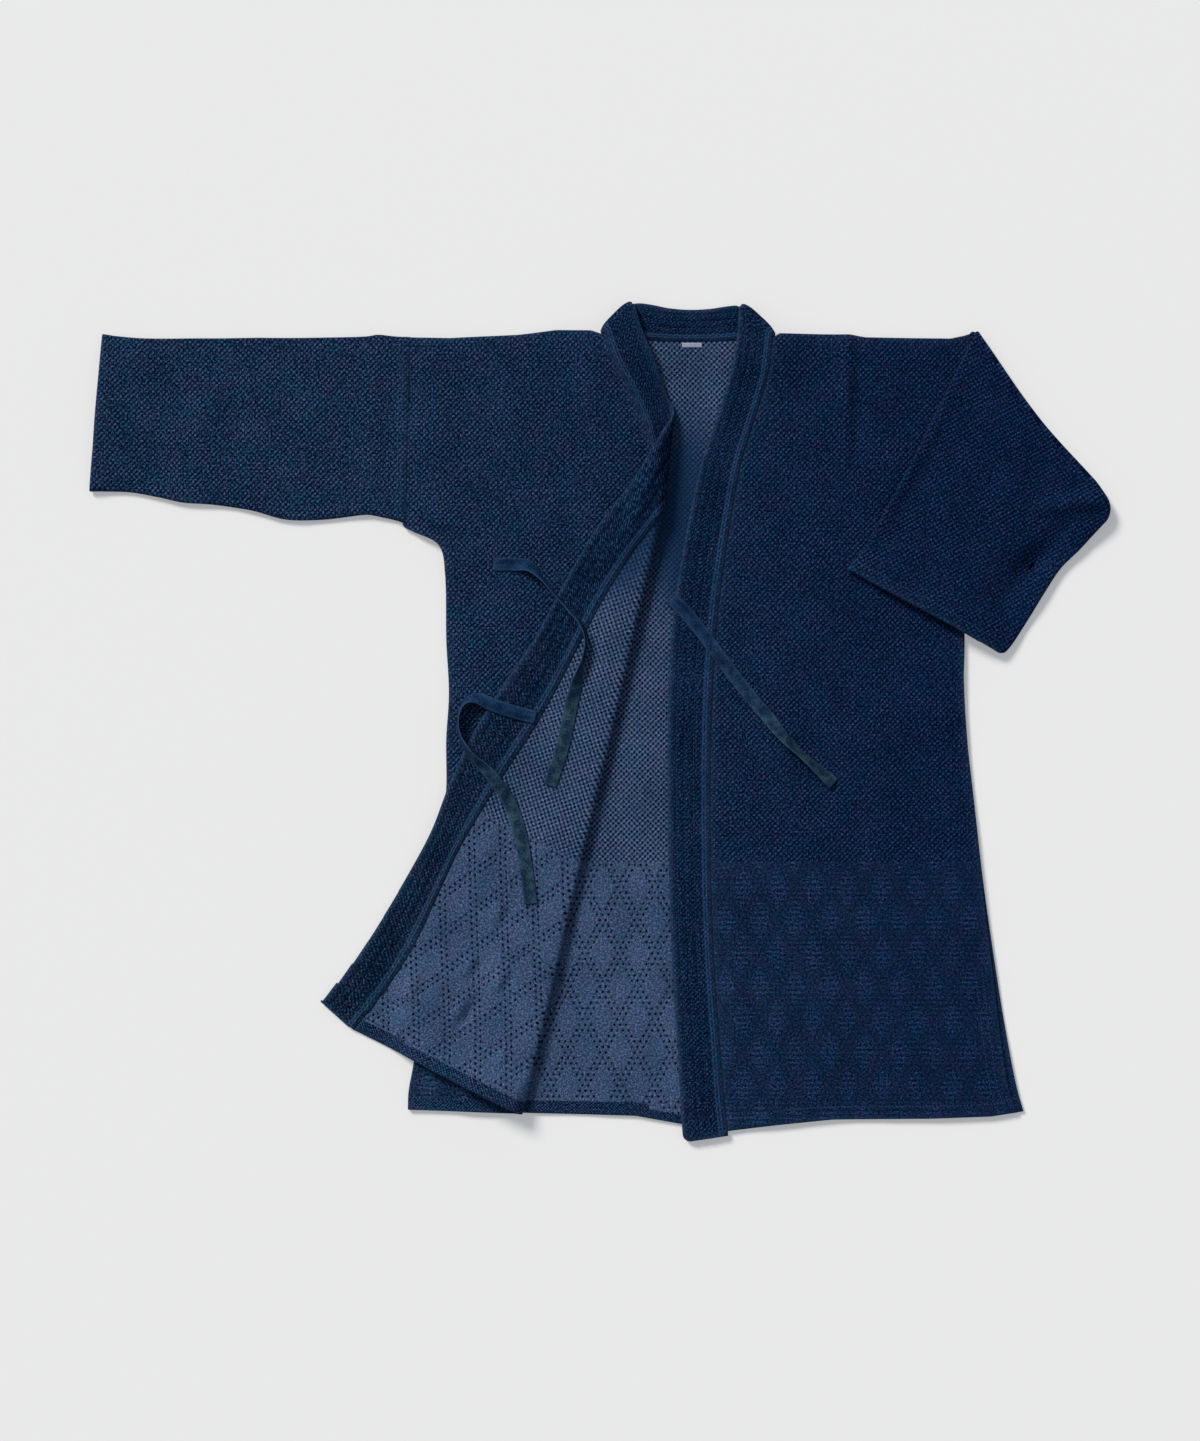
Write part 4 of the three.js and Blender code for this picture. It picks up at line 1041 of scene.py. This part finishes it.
def crowded_shares(start_x, start_y, end_x, end_y):
    """Shares of each row, closest together where the cloth bends over the crease and near the edges."""
    t = np.linspace(0, 1, SHARE_STEPS + 1)
    x, y = between(start_x, start_y, end_x, end_y, t)
    _, _, distance = from_crease(x, y)
    near = np.exp(-((distance / (ROLL_REACH * 1.5)) ** 2))
    length = np.hypot(end_x - start_x, end_y - start_y)[:, None]
    by_edge = np.exp(-(t * length / 2) ** 2) + np.exp(-((1 - t) * length / 2) ** 2)
    weight = 1 + 3.5 * near + 3 * by_edge
    steps = (weight[:, 1:] + weight[:, :-1]) / 2
    total = np.concatenate([np.zeros((len(x), 1)), np.cumsum(steps, axis=1)], axis=1)
    wanted = np.linspace(0, 1, FRONT_COLUMNS)
    return np.stack([np.interp(wanted, row / row[-1], t) for row in total])


def right_front():
    """The right front: flat on the back with its outer face up, then over the crease, inner face up."""
    number, seam, _ = right_rows(BODY_STEP)
    side = along(SIDES, number)
    start = (side["left_x"], side["left_y"])
    end = (seam["x"] + SEWN_IN, seam["y"])
    x, y = between(*start, *end, crowded_shares(*start, *end))
    top_line = ((SIDES["left_x"][0], SIDES["left_y"][0]), (RIGHT_SEAM["x"][0], RIGHT_SEAM["y"][0]))
    y = y + bend(x, RIGHT_TOP, *top_line, line_at(x, *top_line) - y)
    _, _, distance = from_crease(x, y)
    by_neck = np.hypot(end[0][:, None] - x, end[1][:, None] - y) / NECK_LIFT["width"]
    level = turn_back(x, y, CLOTH, neck_rise(y) * smooth(1 - by_neck))
    down, _ = runs(level)
    from_hem = down[-1] - down
    turned = turned_share(distance)
    unturned = smooth((-distance - UNTURNED["from"]) / UNTURNED["over"])
    grid = settled_on(level)
    lifted = ridges(FLIPPED_FOLDS, grid[..., 0], grid[..., 1]) * turned
    lifted += ridges(RIGHT_FRONT_FOLDS, grid[..., 0], grid[..., 1]) * unturned
    grid[..., 2] += lifted
    in_hem = (from_hem[:-1, :-1] < TURNED_HEM["width"]).ravel()
    inner = CLOTH / 2 + strip_rise(from_hem, TURNED_HEM["width"], TURNED_HEM["rise"]) * turned
    outer = np.full(x.shape, CLOTH / 2)
    cloth = np.stack([x, y], -1)
    slots = (np.where(in_hem, 2, 1), np.where(in_hem, 2, 0))
    piece = shell("right_front_cloth", grid, inner, outer, cloth, (OUTER, INNER, HEMMED), *slots)
    return piece, sewn_face(grid, inner, 1), sewn_face(grid, outer, -1), from_hem


def left_front():
    """The left front: outer face up."""
    row = spaced(LEFT_FRONT, "seam_x", "seam_y", BODY_STEP)
    seam_x = row["seam_x"] - SEWN_IN
    width = np.mean(row["side_x"] - seam_x)
    shares = even_places(width, BODY_STEP) / width
    x, y = between(seam_x, row["seam_y"], row["side_x"], row["side_y"], shares)
    top_line, hem_line = (ends(LEFT_FRONT, "seam", "side", number) for number in (0, -1))
    y = ends_bent(x, y, LEFT_TOP, top_line, HEM, hem_line)
    by_neck = (x - seam_x[:, None]) / NECK_LIFT["width"]
    level = with_height(x, y, FRONT_LEVEL + CLOTH / 2 + neck_rise(y) * smooth(1 - by_neck))
    grid = settled_on(level, LEFT_FRONT_FOLDS)
    half = np.full(x.shape, CLOTH / 2)
    down, across = runs(level)
    from_hem = down[-1] - down
    from_side = across[:, -1:] - across + SLIT["height"] * (from_hem > SLIT["height"])
    hem = np.minimum(from_hem, from_side)
    outer = half + strip_rise(hem, TURNED_HEM["width"], TURNED_HEM["rise"] / 2)
    cloth = np.stack([x, y], -1)
    piece = shell("left_front_cloth", grid, half, outer, cloth, (OUTER, INNER), 1, 0)
    return piece, sewn_face(grid, outer, -1), from_hem


def fold_rows(row, outward, radius, climb):
    """Half turn about a fold: rows between two stacked layers, bulging outward."""
    angle = np.linspace(0, math.pi, FOLD_STEPS + 1)[1:-1, None]
    bulge = 1 - np.linspace(-1, 1, len(row))[None, :] ** 4
    out = radius * np.sin(angle) * bulge
    rise = climb * radius * (1 - np.cos(angle))
    x = row[None, :, 0] + outward[0] * out
    y = row[None, :, 1] + outward[1] * out
    return np.stack([x, y, row[None, :, 2] + rise], -1)


def side_of(row, side):
    """Direction square to a row, to one side of it."""
    run = row[-1] - row[0]
    length = math.hypot(run[0], run[1])
    return -side * run[1] / length, side * run[0] / length


def collar_band():
    """The quilted band: up the turned-back front, over two folds behind the neck, down the left front."""
    half = BAND / 2
    shares = even_places(BAND_WIDTH, BAND_WIDTH / (BAND_COLUMNS - 1)) / BAND_WIDTH
    _, seam, free = right_rows(BAND_STEP)
    x, y = cut_rows(seam["x"], seam["y"], free["x"], free["y"], shares, (0, CORNERS["neck"]))
    x, y = x[::-1], y[::-1]
    right = turn_back(x, y, BAND, neck_rise(y))
    _, _, distance = from_crease(x, y)
    right[..., 2] += ridges(FLIPPED_FOLDS, right[..., 0], right[..., 1]) * turned_share(distance)
    row = spaced(BACK_BAND, "free_x", "free_y", BAND_STEP, edges=False)
    x, y = cut_rows(*row.values(), shares, (-1, CORNERS["neck"]), (0, CORNERS["neck"]))
    behind = with_height(x[::-1], y[::-1], half)
    row = spaced(LEFT_FRONT, "seam_x", "seam_y", BAND_STEP)
    edges = (row[name] for name in ("seam_x", "seam_y", "free_x", "free_y"))
    x, y = cut_rows(*edges, shares, (0, CORNERS["neck"]), (-1, CORNERS["band_end"]))
    down = with_height(x, y, FRONT_LEVEL + half + neck_rise(y))
    first_fold = fold_rows(right[-1], side_of(right[-1], 1), NECK_FOLD_RADIUS, -1)
    second_fold = fold_rows(behind[-1], side_of(behind[-1], -1), NECK_FOLD_RADIUS, 1)
    grid = settled_on(np.concatenate([right, first_fold, behind, second_fold, down]))
    # Quilting: both faces swell between the rows of stitching
    groove = QUILT["depth"] * (1 - np.abs(np.sin(shares * QUILT["channels"] * math.pi)) ** 0.8)
    for share in PIPING["shares"]:
        groove = groove - PIPING["rise"] * np.exp(-(((shares - share) / PIPING["width"]) ** 2))
    # The folds behind the neck press the quilting flat
    behind_start = len(right) + len(first_fold)
    behind_end = behind_start + len(behind)
    fold_middles = (len(right) + len(first_fold) / 2, behind_end + len(second_fold) / 2)
    from_fold = np.min([np.abs(np.arange(len(grid)) - middle) for middle in fold_middles], axis=0)
    pressed = smooth((from_fold - FOLD_STEPS / 2) / 8)
    face = half - groove[None, :] * pressed[:, None]
    run, _ = runs(grid)
    along_band = run.mean(axis=1, keepdims=True)
    across = np.broadcast_to(shares * BAND_WIDTH, grid.shape[:2])
    cloth = np.stack([across, np.broadcast_to(along_band, across.shape)], -1)
    piece = shell("collar_band_cloth", grid, face, face, cloth, (BANDED, BANDED_UNDER), 0, 1)
    return piece, sewn_face(grid, face, 1), sewn_face(grid, face, -1), shares, (behind_start, behind_end)


def tube(name, grid, cloth, half_gap, outer_rise, materials):
    """Flattened tube of cloth about a grid of middle points, open at both ends.
    half_gap is half the space inside it, and outer_rise what stands proud on its minus side."""
    rows, columns = grid.shape[:2]
    normals = grid_normals(grid)
    down, _ = runs(grid)
    edge = np.minimum(down, down[-1] - down)
    half_wall = CLOTH / 2 * rounded(edge, CLOTH / 2)
    middle = half_gap + CLOTH / 2
    first_away = unit(grid[:, 0] - grid[:, 1])
    last_away = unit(grid[:, -1] - grid[:, -2])
    angles = np.linspace(0, math.pi, ROUND_STEPS + 2)[1:-1]

    def ring(offset, rise):
        def turned(j, away, side):
            reach = offset[:, j, None]
            parts = [
                grid[:, j] + normals[:, j] * side * math.cos(a) * reach + away * math.sin(a) * reach
                for a in angles
            ]
            return np.stack(parts, 1)

        plus = grid + normals * offset[..., None]
        minus = (grid - normals * (offset + rise)[..., None])[:, ::-1]
        return np.concatenate([plus, turned(-1, last_away, 1), minus, turned(0, first_away, -1)], 1)

    outer = ring(middle + half_wall, outer_rise)
    inner = ring(middle - half_wall, np.zeros(middle.shape))
    size = outer.shape[1]
    count = rows * size
    # Cloth coordinates run on past the first and last columns, round the edges
    bend_run = (angles / math.pi * EDGE_RUN)[None, :, None]
    past_last = cloth[:, -1:] + unit(cloth[:, -1:] - cloth[:, -2:-1]) * bend_run
    past_first = cloth[:, :1] + unit(cloth[:, :1] - cloth[:, 1:2]) * bend_run
    cloth = np.concatenate([cloth, past_last, cloth[:, ::-1], past_first], 1).reshape(-1, 2)
    outer_faces = quads(rows, size, 0, wrap=True)
    inner_faces = quads(rows, size, count, wrap=True)[:, ::-1]
    k = np.arange(size)
    after = (k + 1) % size
    last = (rows - 1) * size
    start_faces = np.stack([k, k + count, after + count, after], -1)
    end_faces = np.stack([last + after, last + after + count, last + k + count, last + k], -1)
    faces = np.concatenate([outer_faces, inner_faces, start_faces, end_faces])
    slots = np.zeros(len(faces))
    slots[len(outer_faces):len(outer_faces) + len(inner_faces)] = 1
    wear_row = np.exp(-edge[:, :1] / WEAR_REACH)
    fold_wear = np.zeros(outer.shape[:2])
    fold_wear[:, columns:columns + len(angles)] = FOLD_WEAR
    fold_wear[:, -len(angles):] = FOLD_WEAR
    wear = np.maximum(np.broadcast_to(wear_row, fold_wear.shape), fold_wear).ravel()
    points = np.concatenate([outer.reshape(-1, 3), inner.reshape(-1, 3)])
    both = np.concatenate([cloth, cloth])
    piece = make_mesh(name, points, faces, slots, materials, both, np.concatenate([wear, wear]))
    return piece, sewn_face(grid, middle + half_wall + outer_rise, -1)


def sleeve_gap(down, shares):
    """Half the space inside a sleeve, which opens at the cuff."""
    from_cuff = down[-1] - down
    mouth = smooth(1 - from_cuff / CUFF_MOUTH["length"]) * np.sin(math.pi * shares) ** 0.8
    return SLEEVE_GAP / 2 + CUFF_MOUTH["opening"] * mouth, from_cuff


def right_sleeve():
    """The right sleeve: a flat tube stretched out, with the armhole seam and the cuff's hem."""
    inset = CLOTH + SLEEVE_GAP / 2
    row = spaced(RIGHT_SLEEVE, "top_x", "top_y", SLEEVE_STEP)
    shares = even_places(SLEEVE_WIDTH, SLEEVE_STEP, edges=False) / SLEEVE_WIDTH
    x, y = between(row["top_x"], row["top_y"] - inset, row["low_x"], row["low_y"] + inset, shares)
    down, _ = runs(with_height(x, y, inset))
    x = x + SEAM_STRIP["overlap"] * (1 - smooth(down / (2 * SEAM_STRIP["width"])))
    level = with_height(x, y, inset)
    down, _ = runs(level)
    half_gap, from_cuff = sleeve_gap(down, shares)
    lift = half_gap - SLEEVE_GAP / 2
    grid = settled_on(level, RIGHT_SLEEVE_FOLDS)
    grid[..., 2] += lift
    rise = strip_rise(down, SEAM_STRIP["width"], SEAM_STRIP["rise"], SEAM_STRIP["overlap"] / 2)
    rise = rise + strip_rise(from_cuff, CUFF_HEM["width"], CUFF_HEM["rise"])
    piece, face = tube("right_sleeve_cloth", grid, np.stack([x, y], -1), half_gap, rise, (OUTER, INNER))
    return piece, face, down, from_cuff


def left_sleeve():
    """The left sleeve: out from the armhole, over its fold, and back across the left front."""
    middle = CLOTH + SLEEVE_GAP / 2
    upper = FLIPPED_LEVEL + middle
    shares = even_places(SLEEVE_WIDTH, SLEEVE_STEP, edges=False) / SLEEVE_WIDTH
    row = spaced(LEFT_SLEEVE_UNDER, "low_x", "low_y", SLEEVE_STEP)
    low = drawn_in(*row.values(), middle)
    x, y = cut_rows(row["top_x"], row["top_y"], *low, shares, (-1, CORNERS["sleeve_fold"]))
    under = with_height(x, y, middle)
    number = even_rows(LEFT_SLEEVE_OVER, "top_x", "top_y", SLEEVE_STEP)
    row = along(LEFT_SLEEVE_OVER, number)
    low = drawn_in(*row.values(), middle)
    corners = ((0, CORNERS["sleeve_fold"]), (-1, CORNERS["cuff"]))
    x, y = cut_rows(row["top_x"], row["top_y"], *low, shares, *corners)
    edge_y = LEFT_SLEEVE_FALL["corner_y"] + (x - LEFT_SLEEVE_FALL["corner_x"]) * LEFT_SLEEVE_FALL["slope"]
    past = np.minimum(x - LEFT_SLEEVE_FALL["side_x"], edge_y - y)
    fall = FLIPPED_LEVEL * smooth(past / LEFT_SLEEVE_FALL["width"])
    fold_top = middle + 2 * SLEEVE_FOLD_RADIUS
    over = with_height(x, y, mix(fold_top, upper - fall, smooth(number)[:, None]))
    fold = fold_rows(under[-1], side_of(under[-1], 1), SLEEVE_FOLD_RADIUS, 1)
    level = np.concatenate([under, fold, over])
    start = under[-1, 0, :2]
    square = np.array(side_of(under[-1], 1))
    from_fold = np.abs((level[..., :2] - start) @ square)
    curve = np.sin(math.pi * np.minimum(shares / FOLD_SAG["end"], 1))
    sag = FOLD_SAG["depth"] * curve * (1 - smooth(from_fold / FOLD_SAG["width"]))
    level[..., :2] -= sag[..., None] * square
    down, _ = runs(level)
    half_gap, from_cuff = sleeve_gap(down, shares)
    on_top = np.zeros(level.shape[:2])
    on_top[len(under) + len(fold):] = 1
    grid = settled_on(level)
    own = ridges(LEFT_SLEEVE_FOLDS, grid[..., 0], grid[..., 1])
    past_turn = smooth((down - down[len(under) + len(fold)]) / LEFT_SLEEVE_TURN)
    grid[..., 2] += (own + LEFT_SLEEVE_LOFT) * on_top * past_turn
    grid[..., 2] += half_gap - SLEEVE_GAP / 2
    grid[..., 2] -= SEWN_END["drop"] * (1 - smooth((down - SEWN_END["from"]) / SEWN_END["over"]))
    rise = strip_rise(from_cuff, CUFF_HEM["width"], CUFF_HEM["rise"])
    # Cloth coordinates lie flat: the part past the fold is mirrored back across it
    flat = np.concatenate([under, np.repeat(under[-1:], len(fold), axis=0), over])[..., :2]
    beyond = ((flat - start) @ square)[..., None]
    mirrored = flat - 2 * beyond * square
    past_fold = (np.arange(len(flat)) >= len(under) + len(fold))[:, None, None]
    cloth = np.where(past_fold, mirrored, flat)
    piece, face = tube("left_sleeve_cloth", grid, cloth, half_gap, rise, (OUTER, INNER))
    return piece, face, from_cuff


def highest(trees, x, y):
    """Height in millimetres of the uppermost cloth at a place."""
    start = Vector((x * MM + SHIFT[0], y * MM + SHIFT[1], 0.2))
    found = [tree.ray_cast(start, Vector((0, 0, -1)))[0] for tree in trees]
    return max([hit.z / MM for hit in found if hit is not None], default=0)


def windowed(values):
    """The values of a run, each time moved on by a place, for all places close by."""
    wide = np.pad(values, EVENED, mode="edge")
    return [wide[k:k + len(values)] for k in range(2 * EVENED + 1)]


def resting_heights(trees, x, y, reach_x, reach_y):
    """Heights that a strap lies on along its line, the highest across its width, evened out."""
    shares = np.linspace(-1, 1, 5)
    raw = np.array([
        max(highest(trees, px + rx * share, py + ry * share) for share in shares)
        for px, py, rx, ry in zip(x, y, reach_x, reach_y)
    ])
    return np.mean(windowed(np.max(windowed(raw), axis=0)), axis=0)


def strap(name, rows, trees):
    """Flat strap along a table of places, turned about its line, with rounded edges and sewn ends."""
    place = along(rows, even_rows(rows, "x", "y", STRAP_STEP))
    turn = np.radians(place["turn"])
    depth = (STRAP * np.cos(turn) + STRAP_WIDTH * np.abs(np.sin(turn))) / 2
    run = unit(np.gradient(np.stack([place["x"], place["y"]], -1), axis=0))
    reach = STRAP_WIDTH / 2 * np.cos(turn)
    under = resting_heights(trees, place["x"], place["y"], -run[:, 1] * reach, run[:, 0] * reach)
    line = np.stack([place["x"], place["y"], under + SEAM_GAP + depth], -1)
    ahead = unit(np.gradient(line, axis=0))
    level = unit(np.cross(np.array([0, 0, 1]), ahead))
    up = np.cross(ahead, level)
    side = level * np.cos(turn)[:, None] + up * np.sin(turn)[:, None]
    face = np.cross(ahead, side)
    distance = run_of(line)
    end = np.minimum(distance, distance[-1] - distance)
    thick = STRAP / 2 * rounded(end, STRAP / 2) * (1 + STRAP_END["thicker"] * (end < STRAP_END["length"]))
    half = STRAP_WIDTH / 2
    corner = STRAP / 2
    angle = np.linspace(-math.pi / 2, math.pi / 2, 6)
    right_side = [(half - corner + corner * math.cos(a), math.sin(a)) for a in angle]
    across = [(x, 1) for x in np.linspace(half - corner, -half + corner, 9)[1:-1]]
    left_side = [(-half + corner - corner * math.cos(a), -math.sin(a)) for a in angle]
    below = [(x, -1) for x in np.linspace(-half + corner, half - corner, 9)[1:-1]]
    section = np.array([*right_side, *across, *left_side, *below])
    from_stitching = (np.abs(section[:, 0]) - half + STRAP_STITCHING["inset"]) / STRAP_STITCHING["width"]
    pressed = 1 - STRAP_STITCHING["depth"] * np.exp(-(from_stitching**2))
    points = line[:, None] + side[:, None] * section[None, :, :1]
    points = points + face[:, None] * (thick[:, None] * section[None, :, 1] * pressed)[..., None]
    rows_count, size = points.shape[:2]
    faces = [tuple(f) for f in quads(rows_count, size, 0, wrap=True)[:, ::-1]]
    faces.append(tuple(range(size)))
    faces.append(tuple(range(rows_count * size - 1, (rows_count - 1) * size - 1, -1)))
    around = np.broadcast_to(section[:, 0], (rows_count, size))
    cloth = np.stack([around, np.broadcast_to(distance[:, None], around.shape)], -1).reshape(-1, 2)
    wear = np.broadcast_to(np.exp(-(half - np.abs(section[:, 0])) / 1.2), around.shape)
    wear = np.maximum(wear, np.exp(-end / 2)[:, None]).ravel()
    piece = make_mesh(name, points.reshape(-1, 3), faces, np.zeros(len(faces)), (TAPE,), cloth, wear)
    return piece, distance[-1]


def neck_label():
    """The bare tab at the back of the neck, its corners rounded by bevels."""
    half_x = NECK_LABEL["width"] / 2
    half_y = NECK_LABEL["height"] / 2
    x, y = np.meshgrid(np.linspace(-half_x, half_x, 34), np.linspace(half_y, -half_y, 10))
    x = x + NECK_LABEL["x"]
    y = y + NECK_LABEL["y"]
    level = FRONT_LEVEL + NECK_LABEL["thickness"] / 2 + 0.25 * np.sin(x / 3.1)
    grid = settled_on(with_height(x, y, level))
    half = np.full(x.shape, NECK_LABEL["thickness"] / 2)
    cloth = np.stack([x, y], -1)
    return shell("neck_label_tape", grid, half, half, cloth, (LABEL,), 0, 0)


# Stitches: the rings of each by its place along, size and depth, then pitch, length and thickness of the rows
STITCH_SIDES = 6
STITCH_RINGS = ((-0.5, 0.35, -0.9), (-0.25, 0.9, -0.2), (0.25, 0.9, -0.2), (0.5, 0.35, -0.9))
QUILT_THREAD = (4.2, 2.9, 0.75)
HEM_THREAD = (3.8, 2.7, 0.7)
SLEEVE_THREAD = (3.6, 2.6, 0.7)
# How far in from a hem's edge its stitches lie, the armhole's rows from the seam, and the rows and columns
# of points that the slits' stitches follow
STITCH_INSET = 1.5
ARMHOLE_ROWS = (6, 12)
SLIT_ROWS = slice(-55, -1)
SLIT_COLUMNS = {"right": (5, 8, 10), "left": (-7, -9)}


def sampled(at, run, values):
    """Values of a line's points, at distances along it."""
    return np.stack([np.interp(at, run, values[:, k]) for k in range(3)], -1)


def stitches(name, lines, pitch, length, thick):
    """Rows of thread stitches: each line is its points and the directions out of the cloth there."""
    samples = []
    for points, normals in lines:
        run = run_of(points)
        at = (np.arange(int(run[-1] // pitch)) + 0.5) * pitch
        fields = (points, unit(np.gradient(points, axis=0)), normals)
        samples.append([sampled(at, run, field) for field in fields])
    centre, ahead, out = (np.concatenate(parts) for parts in zip(*samples))
    ahead = unit(ahead)
    out = unit(out)
    side = unit(np.cross(ahead, out))
    rings = []
    for share, size, sink in STITCH_RINGS:
        for k in range(STITCH_SIDES):
            angle = 2 * math.pi * k / STITCH_SIDES
            across = side * math.cos(angle) + out * math.sin(angle)
            rings.append(centre + ahead * share * length + across * size * thick / 2 + out * sink * thick / 2)
    points = np.stack(rings, 1)
    one = quads(len(STITCH_RINGS), STITCH_SIDES, 0, wrap=True)
    starts = np.arange(len(centre)) * points.shape[1]
    faces = (one + starts[:, None, None]).reshape(-1, 4)
    return make_mesh(name, points.reshape(-1, 3), faces, np.zeros(len(faces)), (STITCH,))


def across_line(surface, column, rows=slice(None)):
    """Line along one column of a sheet's face."""
    points, normals = surface
    return points[rows, column], normals[rows, column]


def level_line(surface, distance, wanted):
    """Line across a sheet's face where a distance has a wanted value."""
    points, normals = surface
    index = np.abs(distance - wanted).argmin(axis=0)
    pick = np.arange(points.shape[1])
    return points[index, pick], normals[index, pick]


back_piece, back_face, back_from_hem = back_panel()
right_front_piece, right_inner_face, right_outer_face, right_from_hem = right_front()
left_front_piece, left_face, left_from_hem = left_front()
band_piece, band_face, band_lining, band_shares, band_behind = collar_band()
right_sleeve_piece, right_sleeve_face, right_from_seam, right_from_cuff = right_sleeve()
left_sleeve_piece, left_sleeve_face, left_from_cuff = left_sleeve()
evaluated = bpy.context.evaluated_depsgraph_get()
laid_cloth = [
    BVHTree.FromObject(piece, evaluated)
    for piece in (back_piece, right_front_piece, left_front_piece, band_piece)
]
chest_tie_piece, chest_tie_length = strap("chest_tie_tape", CHEST_TIE, laid_cloth)
hip_tie_piece, hip_tie_length = strap("hip_tie_tape", HIP_TIE, laid_cloth)
left_tie_piece, left_tie_length = strap("left_tie_tape", LEFT_TIE, laid_cloth)
label_piece = neck_label()

# Quilting stitches along the band's grooves, on its outer face and on the strip that shows behind the neck
quilt_lines = []
for channel in range(1, QUILT["channels"]):
    column = int(np.abs(band_shares - channel / QUILT["channels"]).argmin())
    quilt_lines.append(across_line(band_face, column))
    quilt_lines.append(across_line(band_lining, column, slice(*band_behind)))
quilting = stitches("quilting_stitches", quilt_lines, *QUILT_THREAD)

# Hem stitches, and those of the slits at the fronts' sides
hem_row = TURNED_HEM["width"] - STITCH_INSET
hem_lines = [
    level_line(back_face, back_from_hem, hem_row),
    level_line(right_inner_face, right_from_hem, hem_row),
    level_line(right_outer_face, right_from_hem, hem_row),
    level_line(left_face, left_from_hem, hem_row),
    *(across_line(right_outer_face, column, SLIT_ROWS) for column in SLIT_COLUMNS["right"]),
    *(across_line(left_face, column, SLIT_ROWS) for column in SLIT_COLUMNS["left"]),
]
hem_stitches = stitches("hem_stitches", hem_lines, *HEM_THREAD)

cuff_row = CUFF_HEM["width"] - STITCH_INSET
sleeve_lines = [level_line(right_sleeve_face, right_from_seam, row) for row in ARMHOLE_ROWS]
sleeve_lines.append(level_line(right_sleeve_face, right_from_cuff, cuff_row))
right_sleeve_stitches = stitches("right_sleeve_stitches", sleeve_lines, *SLEEVE_THREAD)
cuff_lines = [level_line(left_sleeve_face, left_from_cuff, cuff_row)]
left_sleeve_stitches = stitches("left_sleeve_stitches", cuff_lines, *SLEEVE_THREAD)


# Floor and light: the floor's own light keeps the shadows on it pale
FLOOR = {"reach": 4, "drop": 0.0005, "roughness": 0.9, "glow": 0.27}
FLOOR_GREY = (0.52, 0.52, 0.52, 1)
FLOOR_GLOW = (1, 0.99, 0.98, 1)
# One sun from the upper left: where it is, and how wide it looks in degrees
KEY = {"place": (-2.05, 2.55, 2.45), "spread": 18, "strength": 3.65, "colour": (1.06, 1.01, 0.955)}
SKY = {"colour": (0.84, 0.97, 1.1, 1), "strength": 0.345}


def floor():
    mesh = bpy.data.meshes.new("floor")
    reach = FLOOR["reach"]
    corners = [(-reach, -reach, 0), (reach, -reach, 0), (reach, reach, 0), (-reach, reach, 0)]
    mesh.from_pydata(corners, [], [(0, 1, 2, 3)])
    material = bpy.data.materials.new("pale_floor")
    material.use_nodes = True
    shader = material.node_tree.nodes["Principled BSDF"]
    shader.inputs["Base Color"].default_value = FLOOR_GREY
    shader.inputs["Roughness"].default_value = FLOOR["roughness"]
    shader.inputs["Emission Color"].default_value = FLOOR_GLOW
    shader.inputs["Emission Strength"].default_value = FLOOR["glow"]
    mesh.materials.append(material)
    piece = bpy.data.objects.new("floor", mesh)
    piece.location.z = -FLOOR["drop"]
    bpy.context.collection.objects.link(piece)
    return piece


key_data = bpy.data.lights.new("key_upper_left", "SUN")
key_data.angle = math.radians(KEY["spread"])
key_data.energy = KEY["strength"]
key_data.color = KEY["colour"]
key = bpy.data.objects.new("key_upper_left", key_data)
key.location = KEY["place"]
key.rotation_euler = (-Vector(KEY["place"])).to_track_quat("-Z", "Y").to_euler()
bpy.context.collection.objects.link(key)

world = bpy.data.worlds.new("studio")
world.use_nodes = True
world.node_tree.nodes["Background"].inputs["Color"].default_value = SKY["colour"]
world.node_tree.nodes["Background"].inputs["Strength"].default_value = SKY["strength"]
bpy.context.scene.world = world
bpy.context.scene.view_settings.view_transform = "Standard"
floor()

# Which solids the pieces stand for, their finishes, and the cloth that each is cut from
CLOTHS = [
    (back_piece, "back_panel", "inner_cloth"),
    (right_front_piece, "right_front", "outer_cloth"),
    (left_front_piece, "left_front", "outer_cloth"),
    (band_piece, "collar_band", "band_cloth"),
    (right_sleeve_piece, "right_sleeve", "outer_cloth"),
    (left_sleeve_piece, "left_sleeve", "outer_cloth"),
    (chest_tie_piece, "chest_tie", "tie_tape"),
    (hip_tie_piece, "hip_tie", "tie_tape"),
    (left_tie_piece, "left_tie", "tie_tape"),
    (label_piece, "neck_label", "label_tape"),
]
for piece, node, slot in CLOTHS:
    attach(piece, "root")
    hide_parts(node)
for piece, slot in (
    (quilting, "band_cloth"),
    (hem_stitches, "outer_cloth"),
    (right_sleeve_stitches, "outer_cloth"),
    (left_sleeve_stitches, "outer_cloth"),
):
    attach(piece, "root")
